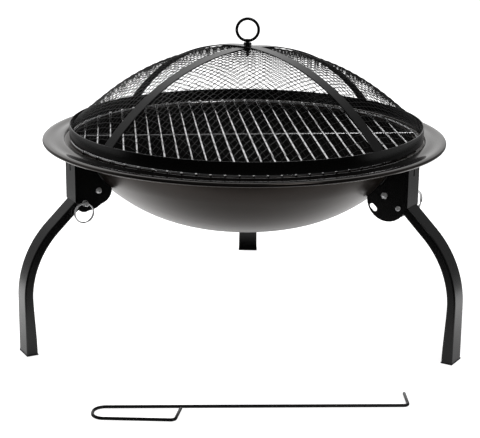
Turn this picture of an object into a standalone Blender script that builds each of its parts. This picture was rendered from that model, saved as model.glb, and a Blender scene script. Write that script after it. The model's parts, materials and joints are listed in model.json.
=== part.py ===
"""Portable fire pit: a pressed steel bowl on three folding legs, with a wire cooking grate, a domed spark
guard that lifts off by a ring handle, and a poker.

Metres, +Z up. The origin is on the floor, under the middle of the whole set, poker included. Each leg has
its own station: an empty on the bowl's axis whose local X points outwards, local Y sideways (counter-clockwise
seen from above) and local Z up, so that the three brackets, legs and lock pins are written once.
"""

import math

import bmesh
import bpy
from mathutils import Matrix, Vector

# Clearance between pieces that touch
GAP = 0.0003

# How many times past its piece a cutter reaches, and the sides of a drilled hole
CUT_PAST = 1.5
HOLE_SIDES = 16

# Bowl, each part placed from the one before: rim, flange, ledge for the grate, steep side and dished bottom
SHEET = 0.0015
RIM_RADIUS = 0.280
RIM_HEIGHT = 0.2683
RIM_DIP = 0.0011
LIP_BEAD_RADIUS = 0.0025
LIP_BEAD_ARC = (150, 430)
LIP_BEAD_STEPS = 7
LIP_DROP = 0.0030
FLANGE_WIDTH = 0.030
FLANGE_STEPS = 4
SEAT_DEPTH = 0.0031
LEDGE_WIDTH = 0.0135
SIDE_SET_IN = 0.0205
SIDE_DROP = 0.0392
SIDE_STEPS = 4
BOWL_DEPTH = 0.1218
BOWL_FULLNESS = 2.9
DISH_STEPS = 8
BOWL_STEPS = 48

# Leg stations: name, compass angle, how far the lock pin is turned in its hole, how far its ring leans out
STATIONS = (
    ("front_left", 210.0, -14.0, 0.0),
    ("front_right", 330.0, -90.0, 80.0),
    ("rear", 90.0, 0.0, 0.0),
)

# Bracket, from the rim: an outer web with a cheek on each side, welded to the bowl
BRACKET_SHEET = 0.002
PIVOT_SET_IN = 0.0525
PIVOT_DROP = 0.0508
WEB_OUT = 0.033
WEB_DOWN = 0.013
WEB_NOTCH_WIDTH = 0.003
WEB_NOTCH_DROP = 0.0238
CHEEK_SIDE_GAP = 0.0005
CHEEK_ARC_STEPS = 28
LOBE_RADIUS = 0.029
LOBE_OUT = 0.003
LOBE_DOWN = 0.0065
SMALL_LOBE_RADIUS = 0.019
PIN_LOBE_RADIUS = 0.0125
SLOT_LENGTH = 0.0125
SLOT_WIDTH = 0.0075
SLOT_END_STEPS = 12
SLOT_PAST_FOLD = 4.0
FOLD_ANGLE = 90.0

# Leg tube, from its outer face: straight under the web, one bend, then upright to the floor
LEG_WIDTH = 0.028
LEG_DEPTH = 0.012
LEG_WALL = 0.0015
LEG_SLOPE = 43.5
LEG_BEND_RADIUS = 0.135
LEG_FOOT_REACH = 0.106
LEG_BEND_STEPS = 9
LEG_FOOT_STEPS = 5
FOOT_DEPTH = 0.0155
FOOT_WIDTH = 0.0295
FLARE_HEIGHT = 0.090
FOOT_PLUG_BASE = 0.002
FOOT_PLUG_LIP = 0.0004
FOOT_PLUG_HEIGHT = 0.012

# Knuckle that carries the leg on its pivot, and the pivot's bolt and nut
KNUCKLE_HUB_RADIUS = 0.010
KNUCKLE_HUB_END = -330
KNUCKLE_HUB_STEPS = 14
KNUCKLE_REACH = 0.036
KNUCKLE_DEPTH = 0.0035
KNUCKLE_SHEET = 0.0025
KNUCKLE_SEAT_STEPS = 6
KNUCKLE_MOUTH = 18
BOLT_RADIUS = 0.00275
BOLT_SIDES = 14
BOLT_HEAD_RADIUS = 0.00425
BOLT_HEAD_EDGE = 0.0010
BOLT_HEAD_HEIGHT = 0.003
BOLT_PAST_NUT = 0.0005
NUT_RADIUS = 0.0048
NUT_HEIGHT = 0.003

# Lock pin, placed along the leg from its pivot and up from its underside, with its split ring
PIN_RADIUS = 0.0034
PIN_CHAMFER = 0.0012
PIN_ALONG = 0.02483
PIN_ABOVE_UNDERSIDE = 0.0022
PIN_TIP = 0.0025
PIN_COLLAR_RADIUS = 0.0042
PIN_COLLAR = 0.0010
PIN_HEAD_LENGTH = 0.0072
PIN_EYE = 0.0034
RING_RADIUS = 0.0140
RING_WIRE_RADIUS = 0.0016
RING_STEPS = 24

# Cooking grate
GRATE_RING_SET_IN = 0.0095
GRATE_RING_WIRE = 0.0040
GRATE_RING_STEPS = 64
GRATE_BAR_WIRE = 0.0032
GRATE_CROSS_WIRE = 0.0030
GRATE_WIRE_SIDES = 6
GRATE_BAR_SET_IN = 0.0035
GRATE_BARS = 26
GRATE_END_PITCHES = 2.12
GRATE_PATTERN_SHIFT = -0.0025
GRATE_TURN = 6.9
GRATE_BAR_SINK = 0.0024

# Spark guard
GUARD_SHIFT = 0.003
BAND_SET_IN = 0.0043
BAND_SHEET = 0.0013
BAND_HEIGHT = 0.0169
STRAP_WIDTH = 0.0172
STRAP_SHEET = 0.0015
STRAP_TAIL = 0.0125
DOME_HEIGHT = 0.1020
STRAP_LIFT = 0.0019
STRAP_STEPS = 22
SCREEN_WIRE = 0.0015
SCREEN_DROP = 0.0006
SCREEN_SAG = 0.0035
SAG_OUTWARDS = 7
SCREEN_RINGS = 8
SCREEN_AROUND = 28
SCREEN_HOLE_RADIUS = 0.016

# Ring handle on the crown
EYE_RADIUS = 0.017
EYE_STEPS = 28
EYE_WIRE_RADIUS = 0.002
EYE_WIRE_SIDES = 8
EYE_SHANK_RADIUS = 0.0025
EYE_SHANK_SIDES = 12
EYE_TAIL = 0.0075
CROWN_NUT_RADIUS = 0.0055
CROWN_NUT_HEIGHT = 0.0045
LOCK_NUT_RADIUS = 0.0042
LOCK_NUT_HEIGHT = 0.003

# Poker, lying on the floor in front of the bowl
POKER_WIRE_RADIUS = 0.002
POKER_LENGTH = 0.3885
POKER_LOOP_LENGTH = 0.108
POKER_LOOP_NEAR = 0.033
POKER_LOOP_FAR = 0.0395
POKER_LOOP_LEAN = 0.007
POKER_HOOK = 0.041
POKER_BEND = 0.006
POKER_NOSE_BEND = 0.011
POKER_SIDES = 8
POKER_BEND_STEPS = 5
POKER_LEFT = -0.173
POKER_AHEAD = 0.0615
POKER_TURN = 3.6

# Values that follow from the ones above
SEAT_RADIUS = RIM_RADIUS - FLANGE_WIDTH
LEDGE_TOP = RIM_HEIGHT - SEAT_DEPTH
WALL_TOP_RADIUS = SEAT_RADIUS - LEDGE_WIDTH
SIDE_RADIUS = WALL_TOP_RADIUS - SIDE_SET_IN
BOWL_BOTTOM = RIM_HEIGHT - BOWL_DEPTH
SIDE_RISE = LEDGE_TOP - SIDE_DROP - BOWL_BOTTOM
BRACKET_HALF = LEG_WIDTH / 2 + CHEEK_SIDE_GAP + BRACKET_SHEET
PIVOT = Vector((RIM_RADIUS - PIVOT_SET_IN, RIM_HEIGHT - PIVOT_DROP))
WEB_CORNER = PIVOT + Vector((WEB_OUT, -WEB_DOWN))
SLOPE = math.radians(LEG_SLOPE)
ALONG_LEG = Vector((math.cos(SLOPE), -math.sin(SLOPE)))
OUT_OF_LEG = Vector((math.sin(SLOPE), math.cos(SLOPE)))
LEG_FACE = (WEB_CORNER - PIVOT).dot(OUT_OF_LEG) - GAP
UNDER_LEG = LEG_FACE - LEG_DEPTH - GAP
PIN_FROM_PIVOT = ALONG_LEG * PIN_ALONG + OUT_OF_LEG * (UNDER_LEG + PIN_ABOVE_UNDERSIDE)
PIN_ORBIT = PIN_FROM_PIVOT.length
PIN_ANGLE = math.degrees(math.atan2(PIN_FROM_PIVOT.y, PIN_FROM_PIVOT.x))
PIN_EYE_PLACE = BRACKET_HALF + GAP + PIN_COLLAR + PIN_EYE
RING_LINE = RING_RADIUS - RING_WIRE_RADIUS
GRATE_RING_RADIUS = SEAT_RADIUS - GRATE_RING_SET_IN
GRATE_RING_HEIGHT = LEDGE_TOP + GAP + GRATE_RING_WIRE / 2
GRATE_BAR_REACH = SEAT_RADIUS - GRATE_BAR_SET_IN
GRATE_BAR_HEIGHT = GRATE_RING_HEIGHT + (GRATE_RING_WIRE + GRATE_BAR_WIRE) / 2 - GRATE_BAR_SINK
GRATE_PITCH = 2 * GRATE_BAR_REACH / (GRATE_BARS + GRATE_END_PITCHES)
BAND_RADIUS = SEAT_RADIUS - BAND_SET_IN
BAND_BOTTOM = GRATE_BAR_HEIGHT + GRATE_BAR_WIRE / 2 + GAP
BAND_TOP = BAND_BOTTOM + BAND_HEIGHT
BAND_FACET_DIP = STRAP_WIDTH / 2 * math.tan(math.pi / BOWL_STEPS)
STRAP_FOOT_RADIUS = BAND_RADIUS - BAND_SHEET - BAND_FACET_DIP - GAP
CROWN = BAND_TOP + DOME_HEIGHT
SAG_PEAK = SAG_OUTWARDS / (SAG_OUTWARDS + 1)


def clear_scene():
    for obj in list(bpy.data.objects):
        bpy.data.objects.remove(obj, do_unlink=True)


def material(name, colour, roughness, metallic):
    made = bpy.data.materials.new(name)
    made.use_nodes = True
    shader = made.node_tree.nodes["Principled BSDF"]
    shader.inputs["Base Color"].default_value = (*colour, 1.0)
    shader.inputs["Roughness"].default_value = roughness
    shader.inputs["Metallic"].default_value = metallic
    made.diffuse_color = (*colour, 1.0)
    return made


def empty(name, parent=None, location=(0, 0, 0), turn=0.0):
    obj = bpy.data.objects.new(name, None)
    bpy.context.scene.collection.objects.link(obj)
    obj.parent = parent
    obj.location = location
    obj.rotation_euler = (0, 0, math.radians(turn))
    return obj


def add(name, mesh, look=None, parent=None, location=(0, 0, 0), rotation=(0, 0, 0)):
    obj = bpy.data.objects.new(name, mesh)
    bpy.context.scene.collection.objects.link(obj)
    obj.parent = parent
    obj.location = location
    obj.rotation_euler = rotation
    if look is not None:
        mesh.materials.clear()
        mesh.materials.append(look)
    mesh.shade_smooth()
    mesh.set_sharp_from_angle(angle=math.radians(35))
    return obj


def finished(bm, name):
    bmesh.ops.recalc_face_normals(bm, faces=bm.faces)
    mesh = bpy.data.meshes.new(name)
    bm.to_mesh(mesh)
    bm.free()
    return mesh


def circle(centre, radius, start, end, steps):
    """Points on an arc, by angles in degrees, both ends included."""
    centre = Vector(centre)
    angles = [math.radians(start + (end - start) * i / steps) for i in range(steps + 1)]
    return [centre + radius * Vector((math.cos(a), math.sin(a))) for a in angles]


def side_of(points):
    """The unit normal to the left at each point of an open path, longer at corners to keep an offset even."""
    normals = []
    for i in range(len(points)):
        before = points[i] - points[i - 1] if i else points[1] - points[0]
        after = points[i + 1] - points[i] if i + 1 < len(points) else before
        first = Vector((-before.y, before.x)).normalized()
        second = Vector((-after.y, after.x)).normalized()
        middle = (first + second).normalized()
        normals.append(middle / max(0.3, middle.dot(first)))
    return normals


def offset(points, distance):
    return [p + n * distance for p, n in zip(points, side_of(points))]


def hull(points):
    """The convex outline of flat points, counter-clockwise."""
    ordered = sorted({(round(p[0], 7), round(p[1], 7)) for p in points})
    halves = []
    for run in (ordered, ordered[::-1]):
        chain = []
        for p in run:
            while len(chain) > 1 and turns_right(chain[-2], chain[-1], p):
                chain.pop()
            chain.append(p)
        halves += chain[:-1]
    return [Vector(p) for p in halves]


def turns_right(a, b, c):
    return (b[0] - a[0]) * (c[1] - a[1]) - (b[1] - a[1]) * (c[0] - a[0]) <= 0


def turned(outline, steps, name):
    """A closed outline of (radius, height) points, turned round Z. Points on the axis are shared."""
    bm = bmesh.new()
    rings = []
    for radius, height in outline:
        if radius < 1e-7:
            rings.append([bm.verts.new((0, 0, height))] * steps)
            continue
        angles = (2 * math.pi * i / steps for i in range(steps))
        rings.append([bm.verts.new((radius * math.cos(a), radius * math.sin(a), height)) for a in angles])
    for first, second in zip(rings, rings[1:] + rings[:1]):
        for i in range(steps):
            corners = [first[i], first[(i + 1) % steps], second[(i + 1) % steps], second[i]]
            corners = list(dict.fromkeys(corners))
            if len(corners) > 2:
                bm.faces.new(corners)
    return finished(bm, name)


def slab(outline, low, high, name):
    """A flat outline of (x, z) points, with thickness from y = low to y = high."""
    bm = bmesh.new()
    near = [bm.verts.new((p[0], low, p[1])) for p in outline]
    far = [bm.verts.new((p[0], high, p[1])) for p in outline]
    bm.faces.new(near)
    bm.faces.new(far[::-1])
    for i in range(len(outline)):
        j = (i + 1) % len(outline)
        bm.faces.new((near[i], near[j], far[j], far[i]))
    return finished(bm, name)


def rod(radius, start, end, sides, name):
    """A straight round bar between two points."""
    start, end = Vector(start), Vector(end)
    way = end - start
    bm = bmesh.new()
    place = Matrix.Translation((start + end) / 2) @ way.to_track_quat("Z", "Y").to_matrix().to_4x4()
    bmesh.ops.create_cone(
        bm, cap_ends=True, segments=sides, radius1=radius, radius2=radius, depth=way.length, matrix=place
    )
    return finished(bm, name)


def drill(radius, spot, half, name):
    """A cutter along Y for a round hole at (x, z), through a piece that reaches this far to either side."""
    ends = [(spot.x, side * half * CUT_PAST, spot.y) for side in (-1, 1)]
    return rod(radius, *ends, HOLE_SIDES, name)


def hoop(radius, wire, steps, sides, name):
    """A round ring of round wire in the XY plane, from its centre-line radius and the wire's radius."""
    outline = [(radius + p.x, p.y) for p in circle((0, 0), wire, 0, 360, sides)[:-1]]
    return turned(outline, steps, name)


def bent_wire(points, radius, sides, name):
    """A round wire along a flat route of (x, y) points at z = 0."""
    bm = bmesh.new()
    rings = []
    for p, side in zip(points, side_of(points)):
        ring = []
        for spot in circle((0, 0), radius, 0, 360, sides)[:-1]:
            ring.append(bm.verts.new((p.x + side.x * spot.x, p.y + side.y * spot.x, spot.y)))
        rings.append(ring)
    for first, second in zip(rings, rings[1:]):
        for i in range(sides):
            j = (i + 1) % sides
            bm.faces.new((first[i], first[j], second[j], second[i]))
    bm.faces.new(rings[0][::-1])
    bm.faces.new(rings[-1])
    return finished(bm, name)


def rounded(corners, steps):
    """A flat route through (x, y, radius) corners, each turned into an arc of its radius."""
    points = [Vector(c[:2]) for c in corners]
    route = [points[0]]
    for a, b, c, corner in zip(points, points[1:], points[2:], corners[1:]):
        into, out = (a - b).normalized(), (c - b).normalized()
        half = into.angle(out) / 2
        centre = b + (into + out).normalized() * corner[2] / math.sin(half)
        first = b + into * corner[2] / math.tan(half) - centre
        second = b + out * corner[2] / math.tan(half) - centre
        turn = math.atan2(first.x * second.y - first.y * second.x, first.dot(second))
        route += [centre + Matrix.Rotation(turn * i / steps, 2) @ first for i in range(steps + 1)]
    return route + [points[-1]]


def combine(mesh, steps):
    """The mesh after Booleans, given as (operation, other mesh) pairs in order."""
    base = add("base", mesh)
    helpers = []
    for operation, other in steps:
        helper = add("helper", other)
        helper.hide_render = True
        helper.display_type = "WIRE"
        helpers.append(helper)
        modifier = base.modifiers.new(operation.title(), "BOOLEAN")
        modifier.operation = operation
        modifier.solver = "EXACT"
        modifier.use_self = True
        modifier.object = helper
    graph = bpy.context.evaluated_depsgraph_get()
    made = bpy.data.meshes.new_from_object(base.evaluated_get(graph))
    made.name = mesh.name
    for obj in [base, *helpers]:
        bpy.data.objects.remove(obj, do_unlink=True)
    return made


def bowl_underside():
    """The bowl's underside from its axis to the inside of the lip, as (radius, height) points."""
    path = []
    for i in range(DISH_STEPS + 1):
        share = i / DISH_STEPS
        path.append(Vector((SIDE_RADIUS * share, BOWL_BOTTOM + SIDE_RISE * share**BOWL_FULLNESS)))
    ledge = LEDGE_TOP - SHEET
    steepness = math.atan(BOWL_FULLNESS * SIDE_RISE / SIDE_RADIUS)
    start, top = path[-1], Vector((WALL_TOP_RADIUS, ledge))
    chord = top - start
    reach = chord.length / 2 / math.cos(math.atan2(chord.y, chord.x) - steepness)
    knee = start + reach * Vector((math.cos(steepness), math.sin(steepness)))
    for i in range(1, SIDE_STEPS + 1):
        t = i / SIDE_STEPS
        path.append(start * (1 - t) ** 2 + knee * 2 * t * (1 - t) + top * t * t)
    outside = SEAT_RADIUS + SHEET
    path.append(Vector((outside, ledge)))
    lip = RIM_RADIUS - 2 * LIP_BEAD_RADIUS - GAP
    for i in range(FLANGE_STEPS + 1):
        share = i / FLANGE_STEPS
        dip = RIM_DIP * math.sin(math.pi * share) ** 2
        path.append(Vector((outside + (lip - outside) * share, RIM_HEIGHT - SHEET - dip)))
    return path


def bowl_mesh():
    under = bowl_underside()
    inside = offset(under, SHEET)
    inside[0].x = 0.0
    middle = (RIM_RADIUS - LIP_BEAD_RADIUS, RIM_HEIGHT - LIP_DROP)
    bead = circle(middle, LIP_BEAD_RADIUS, *LIP_BEAD_ARC, LIP_BEAD_STEPS)
    return turned(under + bead + inside[::-1], BOWL_STEPS, "fire_bowl")


def bowl_clearance():
    """The space that the bowl takes up, grown by the clearance, for cutting what is welded to it."""
    under = offset(bowl_underside(), -GAP)
    under[0].x = 0.0
    past = Vector((RIM_RADIUS * CUT_PAST, under[-1].y))
    high = RIM_HEIGHT * CUT_PAST
    return turned(under + [past, Vector((past.x, high)), Vector((0, high))], BOWL_STEPS, "bowl_clearance")


def slot_outline():
    """The slot in the big cheek, which the pin's hole in the leg faces once the leg is folded."""
    middle = math.radians(PIN_ANGLE - FOLD_ANGLE - SLOT_PAST_FOLD)
    centre = PIVOT + PIN_ORBIT * Vector((math.cos(middle), math.sin(middle)))
    along = Vector((-math.sin(middle), math.cos(middle))) * (SLOT_LENGTH - SLOT_WIDTH) / 2
    ends = [circle(spot, SLOT_WIDTH / 2, 0, 360, SLOT_END_STEPS) for spot in (centre - along, centre + along)]
    return hull(ends[0] + ends[1])


def bracket_mesh():
    """One bracket in its station's frame: the web, then the big cheek, then the small one, then the cuts."""
    half = BRACKET_HALF
    inner = half - BRACKET_SHEET
    rise = BRACKET_SHEET * math.tan(SLOPE)
    web = [
        WEB_CORNER,
        (WEB_CORNER.x, RIM_HEIGHT),
        (WEB_CORNER.x - BRACKET_SHEET, RIM_HEIGHT),
        (WEB_CORNER.x - BRACKET_SHEET, WEB_CORNER.y + rise),
    ]
    top = [(WEB_CORNER.x, RIM_HEIGHT), (WALL_TOP_RADIUS, RIM_HEIGHT), WEB_CORNER]
    lobe = circle(PIVOT + Vector((LOBE_OUT, -LOBE_DOWN)), LOBE_RADIUS, 0, 360, CHEEK_ARC_STEPS)
    small_lobe = circle(PIVOT, SMALL_LOBE_RADIUS, 0, 360, CHEEK_ARC_STEPS)
    pin_lobe = circle(PIVOT + PIN_FROM_PIVOT, PIN_LOBE_RADIUS, 0, 360, CHEEK_ARC_STEPS)
    notch = [
        (WEB_CORNER.x + half, RIM_HEIGHT),
        (WEB_CORNER.x - half, RIM_HEIGHT),
        (WEB_CORNER.x - half, RIM_HEIGHT - WEB_NOTCH_DROP),
        (WEB_CORNER.x + half, RIM_HEIGHT - WEB_NOTCH_DROP),
    ]
    return combine(
        slab(web, -half + GAP, half - GAP, "bracket"),
        [
            ("UNION", slab(hull(top + lobe), -half, -inner, "big_cheek")),
            ("UNION", slab(hull(top + small_lobe + pin_lobe), inner, half, "small_cheek")),
            ("DIFFERENCE", bowl_clearance()),
            ("DIFFERENCE", slab(notch, -WEB_NOTCH_WIDTH / 2, WEB_NOTCH_WIDTH / 2, "notch")),
            ("DIFFERENCE", drill(BOLT_RADIUS + GAP, PIVOT, half, "bolt_hole")),
            ("DIFFERENCE", drill(PIN_RADIUS + GAP, PIVOT + PIN_FROM_PIVOT, half, "pin_hole")),
            ("DIFFERENCE", slab(slot_outline(), -half * CUT_PAST, 0, "slot")),
        ],
    )


def leg_face():
    """The leg's outer face from its top end down to the foot plug, as points measured from the pivot."""
    line = OUT_OF_LEG * LEG_FACE
    start = line + ALONG_LEG * (PIN_ORBIT + PIN_RADIUS + 2 * GAP)
    corner = line + ALONG_LEG * (LEG_FOOT_REACH - line.x) / ALONG_LEG.x
    turn = 90 - LEG_SLOPE
    tangent = LEG_BEND_RADIUS * math.tan(math.radians(turn / 2))
    centre = Vector((LEG_FOOT_REACH - LEG_BEND_RADIUS, corner.y - tangent))
    bend = circle(centre, LEG_BEND_RADIUS, turn, 0, LEG_BEND_STEPS)
    straight = PIVOT.y + bend[-1].y - FOOT_PLUG_BASE - GAP
    heights = [bend[-1].y - straight * i / LEG_FOOT_STEPS for i in range(1, LEG_FOOT_STEPS + 1)]
    return [start] + bend + [Vector((LEG_FOOT_REACH, height)) for height in heights]


def flare(height):
    """How far the leg has widened at this height above the floor, from 0 at the top to 1 at the floor."""
    share = min(1.0, max(0.0, 1 - height / FLARE_HEIGHT))
    return share * share * (3 - 2 * share)


def leg_mesh():
    """The leg's hollow tube, open at both ends, measured from the pivot."""
    face = leg_face()
    bm = bmesh.new()
    loops = []
    for p, side in zip(face, side_of(face)):
        widened = flare(p.y + PIVOT.y)
        depth = LEG_DEPTH + (FOOT_DEPTH - LEG_DEPTH) * widened
        half = (LEG_WIDTH + (FOOT_WIDTH - LEG_WIDTH) * widened) / 2
        rings = []
        for wall in (0.0, LEG_WALL):
            outer, inner = p - side * wall, p - side * (depth - wall)
            y = half - wall
            corners = ((outer, -y), (outer, y), (inner, y), (inner, -y))
            rings.append([bm.verts.new((c.x, w, c.y)) for c, w in corners])
        loops.append(rings)
    for first, second in zip(loops, loops[1:]):
        for skin in (0, 1):
            for i in range(4):
                j = (i + 1) % 4
                bm.faces.new((first[skin][i], first[skin][j], second[skin][j], second[skin][i]))
    for outer, inner in (loops[0], loops[-1]):
        for i in range(4):
            j = (i + 1) % 4
            bm.faces.new((outer[i], outer[j], inner[j], inner[i]))
    return finished(bm, "leg")


def foot_plug_mesh():
    """The plastic plug under a leg, from the pivot: a base on the floor and a block inside the tube."""
    bm = bmesh.new()
    levels = []
    base, top = FOOT_PLUG_BASE, FOOT_PLUG_BASE + FOOT_PLUG_HEIGHT
    inside = LEG_WALL + GAP
    for height, inset in ((0.0, -FOOT_PLUG_LIP), (base, -FOOT_PLUG_LIP), (base, inside), (top, inside + GAP)):
        widened = flare(height)
        depth = LEG_DEPTH + (FOOT_DEPTH - LEG_DEPTH) * widened
        half = (LEG_WIDTH + (FOOT_WIDTH - LEG_WIDTH) * widened) / 2 - inset
        near, far = LEG_FOOT_REACH - inset, LEG_FOOT_REACH - depth + inset
        z = height - PIVOT.y
        corners = ((near, -half, z), (near, half, z), (far, half, z), (far, -half, z))
        levels.append([bm.verts.new(corner) for corner in corners])
    for first, second in zip(levels, levels[1:]):
        for i in range(4):
            j = (i + 1) % 4
            bm.faces.new((first[i], first[j], second[j], second[i]))
    bm.faces.new(levels[0][::-1])
    bm.faces.new(levels[-1])
    return finished(bm, "foot_plug")


def knuckle_mesh():
    """The folded channel under the leg's top end, with the hub on the pivot and the open seat for the lock pin.

    The seat is open towards the leg's outer face, so that the leg can swing inwards past the pin.
    """
    seat = PIN_RADIUS + GAP
    seat_end = 270 - LEG_SLOPE + math.degrees(math.acos(PIN_ABOVE_UNDERSIDE / seat))
    upper = ALONG_LEG * KNUCKLE_REACH + OUT_OF_LEG * UNDER_LEG
    lower = upper - OUT_OF_LEG * KNUCKLE_DEPTH
    heel = -OUT_OF_LEG * KNUCKLE_HUB_RADIUS
    outline = circle((0, 0), PIN_ORBIT - seat, PIN_ANGLE + KNUCKLE_MOUTH, PIN_ANGLE, KNUCKLE_SEAT_STEPS)
    outline += circle(PIN_FROM_PIVOT, seat, PIN_ANGLE + 180, seat_end, KNUCKLE_SEAT_STEPS)[1:]
    outline += [upper, lower]
    outline += circle((0, 0), KNUCKLE_HUB_RADIUS, -90 - LEG_SLOPE, KNUCKLE_HUB_END, KNUCKLE_HUB_STEPS)
    edge = (lower - heel).normalized()
    inward = Vector((-edge.y, edge.x))
    first = heel - edge * KNUCKLE_REACH + inward * KNUCKLE_SHEET
    second = lower + edge * KNUCKLE_REACH + inward * KNUCKLE_SHEET
    hollow = [first, second, second + inward * KNUCKLE_REACH, first + inward * KNUCKLE_REACH]
    half = LEG_WIDTH / 2
    return combine(
        slab(outline, -half, half, "knuckle"),
        [
            ("DIFFERENCE", slab(hollow, -half + KNUCKLE_SHEET, half - KNUCKLE_SHEET, "hollow")),
            ("DIFFERENCE", drill(BOLT_RADIUS + GAP, Vector((0, 0)), half, "bore")),
        ],
    )


def along_y(mesh):
    """Lays a piece that was turned round Z along Y instead, top end towards +Y."""
    mesh.transform(Matrix.Rotation(math.radians(-90), 4, "X"))
    return mesh


def bolt_mesh():
    """The pivot bolt on its own axis, domed head at +Y."""
    face = BRACKET_HALF + GAP
    low = -(face + NUT_HEIGHT + BOLT_PAST_NUT)
    edge = face + BOLT_HEAD_EDGE
    dome = BOLT_HEAD_HEIGHT - BOLT_HEAD_EDGE
    head = [(BOLT_HEAD_RADIUS * p.x, edge + dome * p.y) for p in circle((0, 0), 1, 0, 90, 3)[:-1]]
    outline = [(0, low), (BOLT_RADIUS, low), (BOLT_RADIUS, face), (BOLT_HEAD_RADIUS, face)] + head
    return along_y(turned(outline + [(0, edge + dome)], BOLT_SIDES, "pivot_bolt"))


def collar(inner, outer, low, high, steps, name):
    """A plain ring round a bore, with a square section."""
    return turned([(inner, low), (outer, low), (outer, high), (inner, high)], steps, name)


def hex_nut(bore, corner, low, high, name):
    """A nut with a round bore and six sides, given by the radius over its corners."""
    mesh = collar(bore, corner, low, high, 12, name)
    for vertex in mesh.vertices:
        angle = math.degrees(math.atan2(vertex.co.y, vertex.co.x))
        if vertex.co.xy.length > (bore + corner) / 2 and round(angle / 30) % 2:
            vertex.co.xy *= math.cos(math.radians(30))
    return mesh


def nut_mesh():
    """The nut on the pivot bolt, beside the big cheek."""
    face = -(BRACKET_HALF + GAP)
    return along_y(hex_nut(BOLT_RADIUS + GAP, NUT_RADIUS, face - NUT_HEIGHT, face, "pivot_nut"))


def pin_mesh():
    """The lock pin on its own axis: a chamfered tip, a collar by the small cheek and an end with a hole."""
    tip = -(BRACKET_HALF + PIN_TIP)
    face = BRACKET_HALF + GAP
    collar = face + PIN_COLLAR
    end = collar + PIN_HEAD_LENGTH
    outline = [
        (0, tip),
        (PIN_RADIUS - PIN_CHAMFER, tip),
        (PIN_RADIUS, tip + PIN_CHAMFER),
        (PIN_RADIUS, face),
        (PIN_COLLAR_RADIUS, face),
        (PIN_COLLAR_RADIUS, collar),
        (PIN_RADIUS, collar),
        (PIN_RADIUS, end - PIN_CHAMFER),
        (PIN_RADIUS - PIN_CHAMFER, end),
        (0, end),
    ]
    sag = RING_LINE - math.sqrt(RING_LINE**2 - PIN_RADIUS**2)
    reach = PIN_RADIUS * CUT_PAST
    ends = [(side * reach, PIN_EYE_PLACE, 0) for side in (-1, 1)]
    cross_hole = rod(RING_WIRE_RADIUS + sag + GAP, *ends, HOLE_SIDES, "cross_hole")
    return combine(along_y(turned(outline, BOLT_SIDES, "lock_pin")), [("DIFFERENCE", cross_hole)])


def split_ring_mesh():
    """The split ring, hanging from the pin's cross hole, measured from that hole."""
    mesh = hoop(RING_LINE, RING_WIRE_RADIUS, RING_STEPS, 6, "split_ring")
    mesh.transform(Matrix.Translation((0, 0, -RING_LINE)) @ Matrix.Rotation(math.radians(90), 4, "X"))
    return mesh


def grate_mesh():
    """The ring, the cross wire inside it and the parallel bars over both, fused at their welds."""
    bars = bmesh.new()
    for i in range(GRATE_BARS):
        x = (i - (GRATE_BARS - 1) / 2) * GRATE_PITCH + GRATE_PATTERN_SHIFT
        reach = math.sqrt(GRATE_BAR_REACH**2 - x * x)
        ends = [(x, side * reach, GRATE_BAR_HEIGHT) for side in (-1, 1)]
        bars.from_mesh(rod(GRATE_BAR_WIRE / 2, *ends, GRATE_WIRE_SIDES, "bar"))
    all_bars = bpy.data.meshes.new("bars")
    bars.to_mesh(all_bars)
    bars.free()
    ends = [(side * GRATE_RING_RADIUS, 0, GRATE_RING_HEIGHT) for side in (-1, 1)]
    cross = rod(GRATE_CROSS_WIRE / 2, *ends, GRATE_WIRE_SIDES, "cross")
    ring = hoop(GRATE_RING_RADIUS, GRATE_RING_WIRE / 2, GRATE_RING_STEPS, GRATE_WIRE_SIDES, "cooking_grate")
    ring.transform(Matrix.Translation((0, 0, GRATE_RING_HEIGHT)))
    return combine(ring, [("UNION", cross), ("UNION", all_bars)])


def ball_under(top):
    """The radius of the ball whose top is at this height and which meets the band's top where the straps do."""
    rise = top - BAND_TOP
    return (STRAP_FOOT_RADIUS**2 + rise**2) / (2 * rise)


def strap_mesh(lift, name):
    """A flat strap over the dome, its ends turned down inside the band, with the handle's hole at the crown."""
    top = CROWN + lift + STRAP_SHEET
    ball = ball_under(top)
    reach = math.degrees(math.asin(STRAP_FOOT_RADIUS / ball))
    arc = circle((0, top - ball), ball, 90 + reach, 90 - reach, STRAP_STEPS)
    low = BAND_TOP - STRAP_TAIL
    path = [Vector((-STRAP_FOOT_RADIUS, low))] + arc + [Vector((STRAP_FOOT_RADIUS, low))]
    outline = path + offset(path, -STRAP_SHEET)[::-1]
    through = CUT_PAST * (STRAP_SHEET + STRAP_LIFT)
    ends = [(0, 0, CROWN + side * through) for side in (-1, 1)]
    hole = rod(EYE_SHANK_RADIUS + GAP, *ends, HOLE_SIDES, "shank_hole")
    return combine(slab(outline, -STRAP_WIDTH / 2, STRAP_WIDTH / 2, name), [("DIFFERENCE", hole)])


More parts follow.
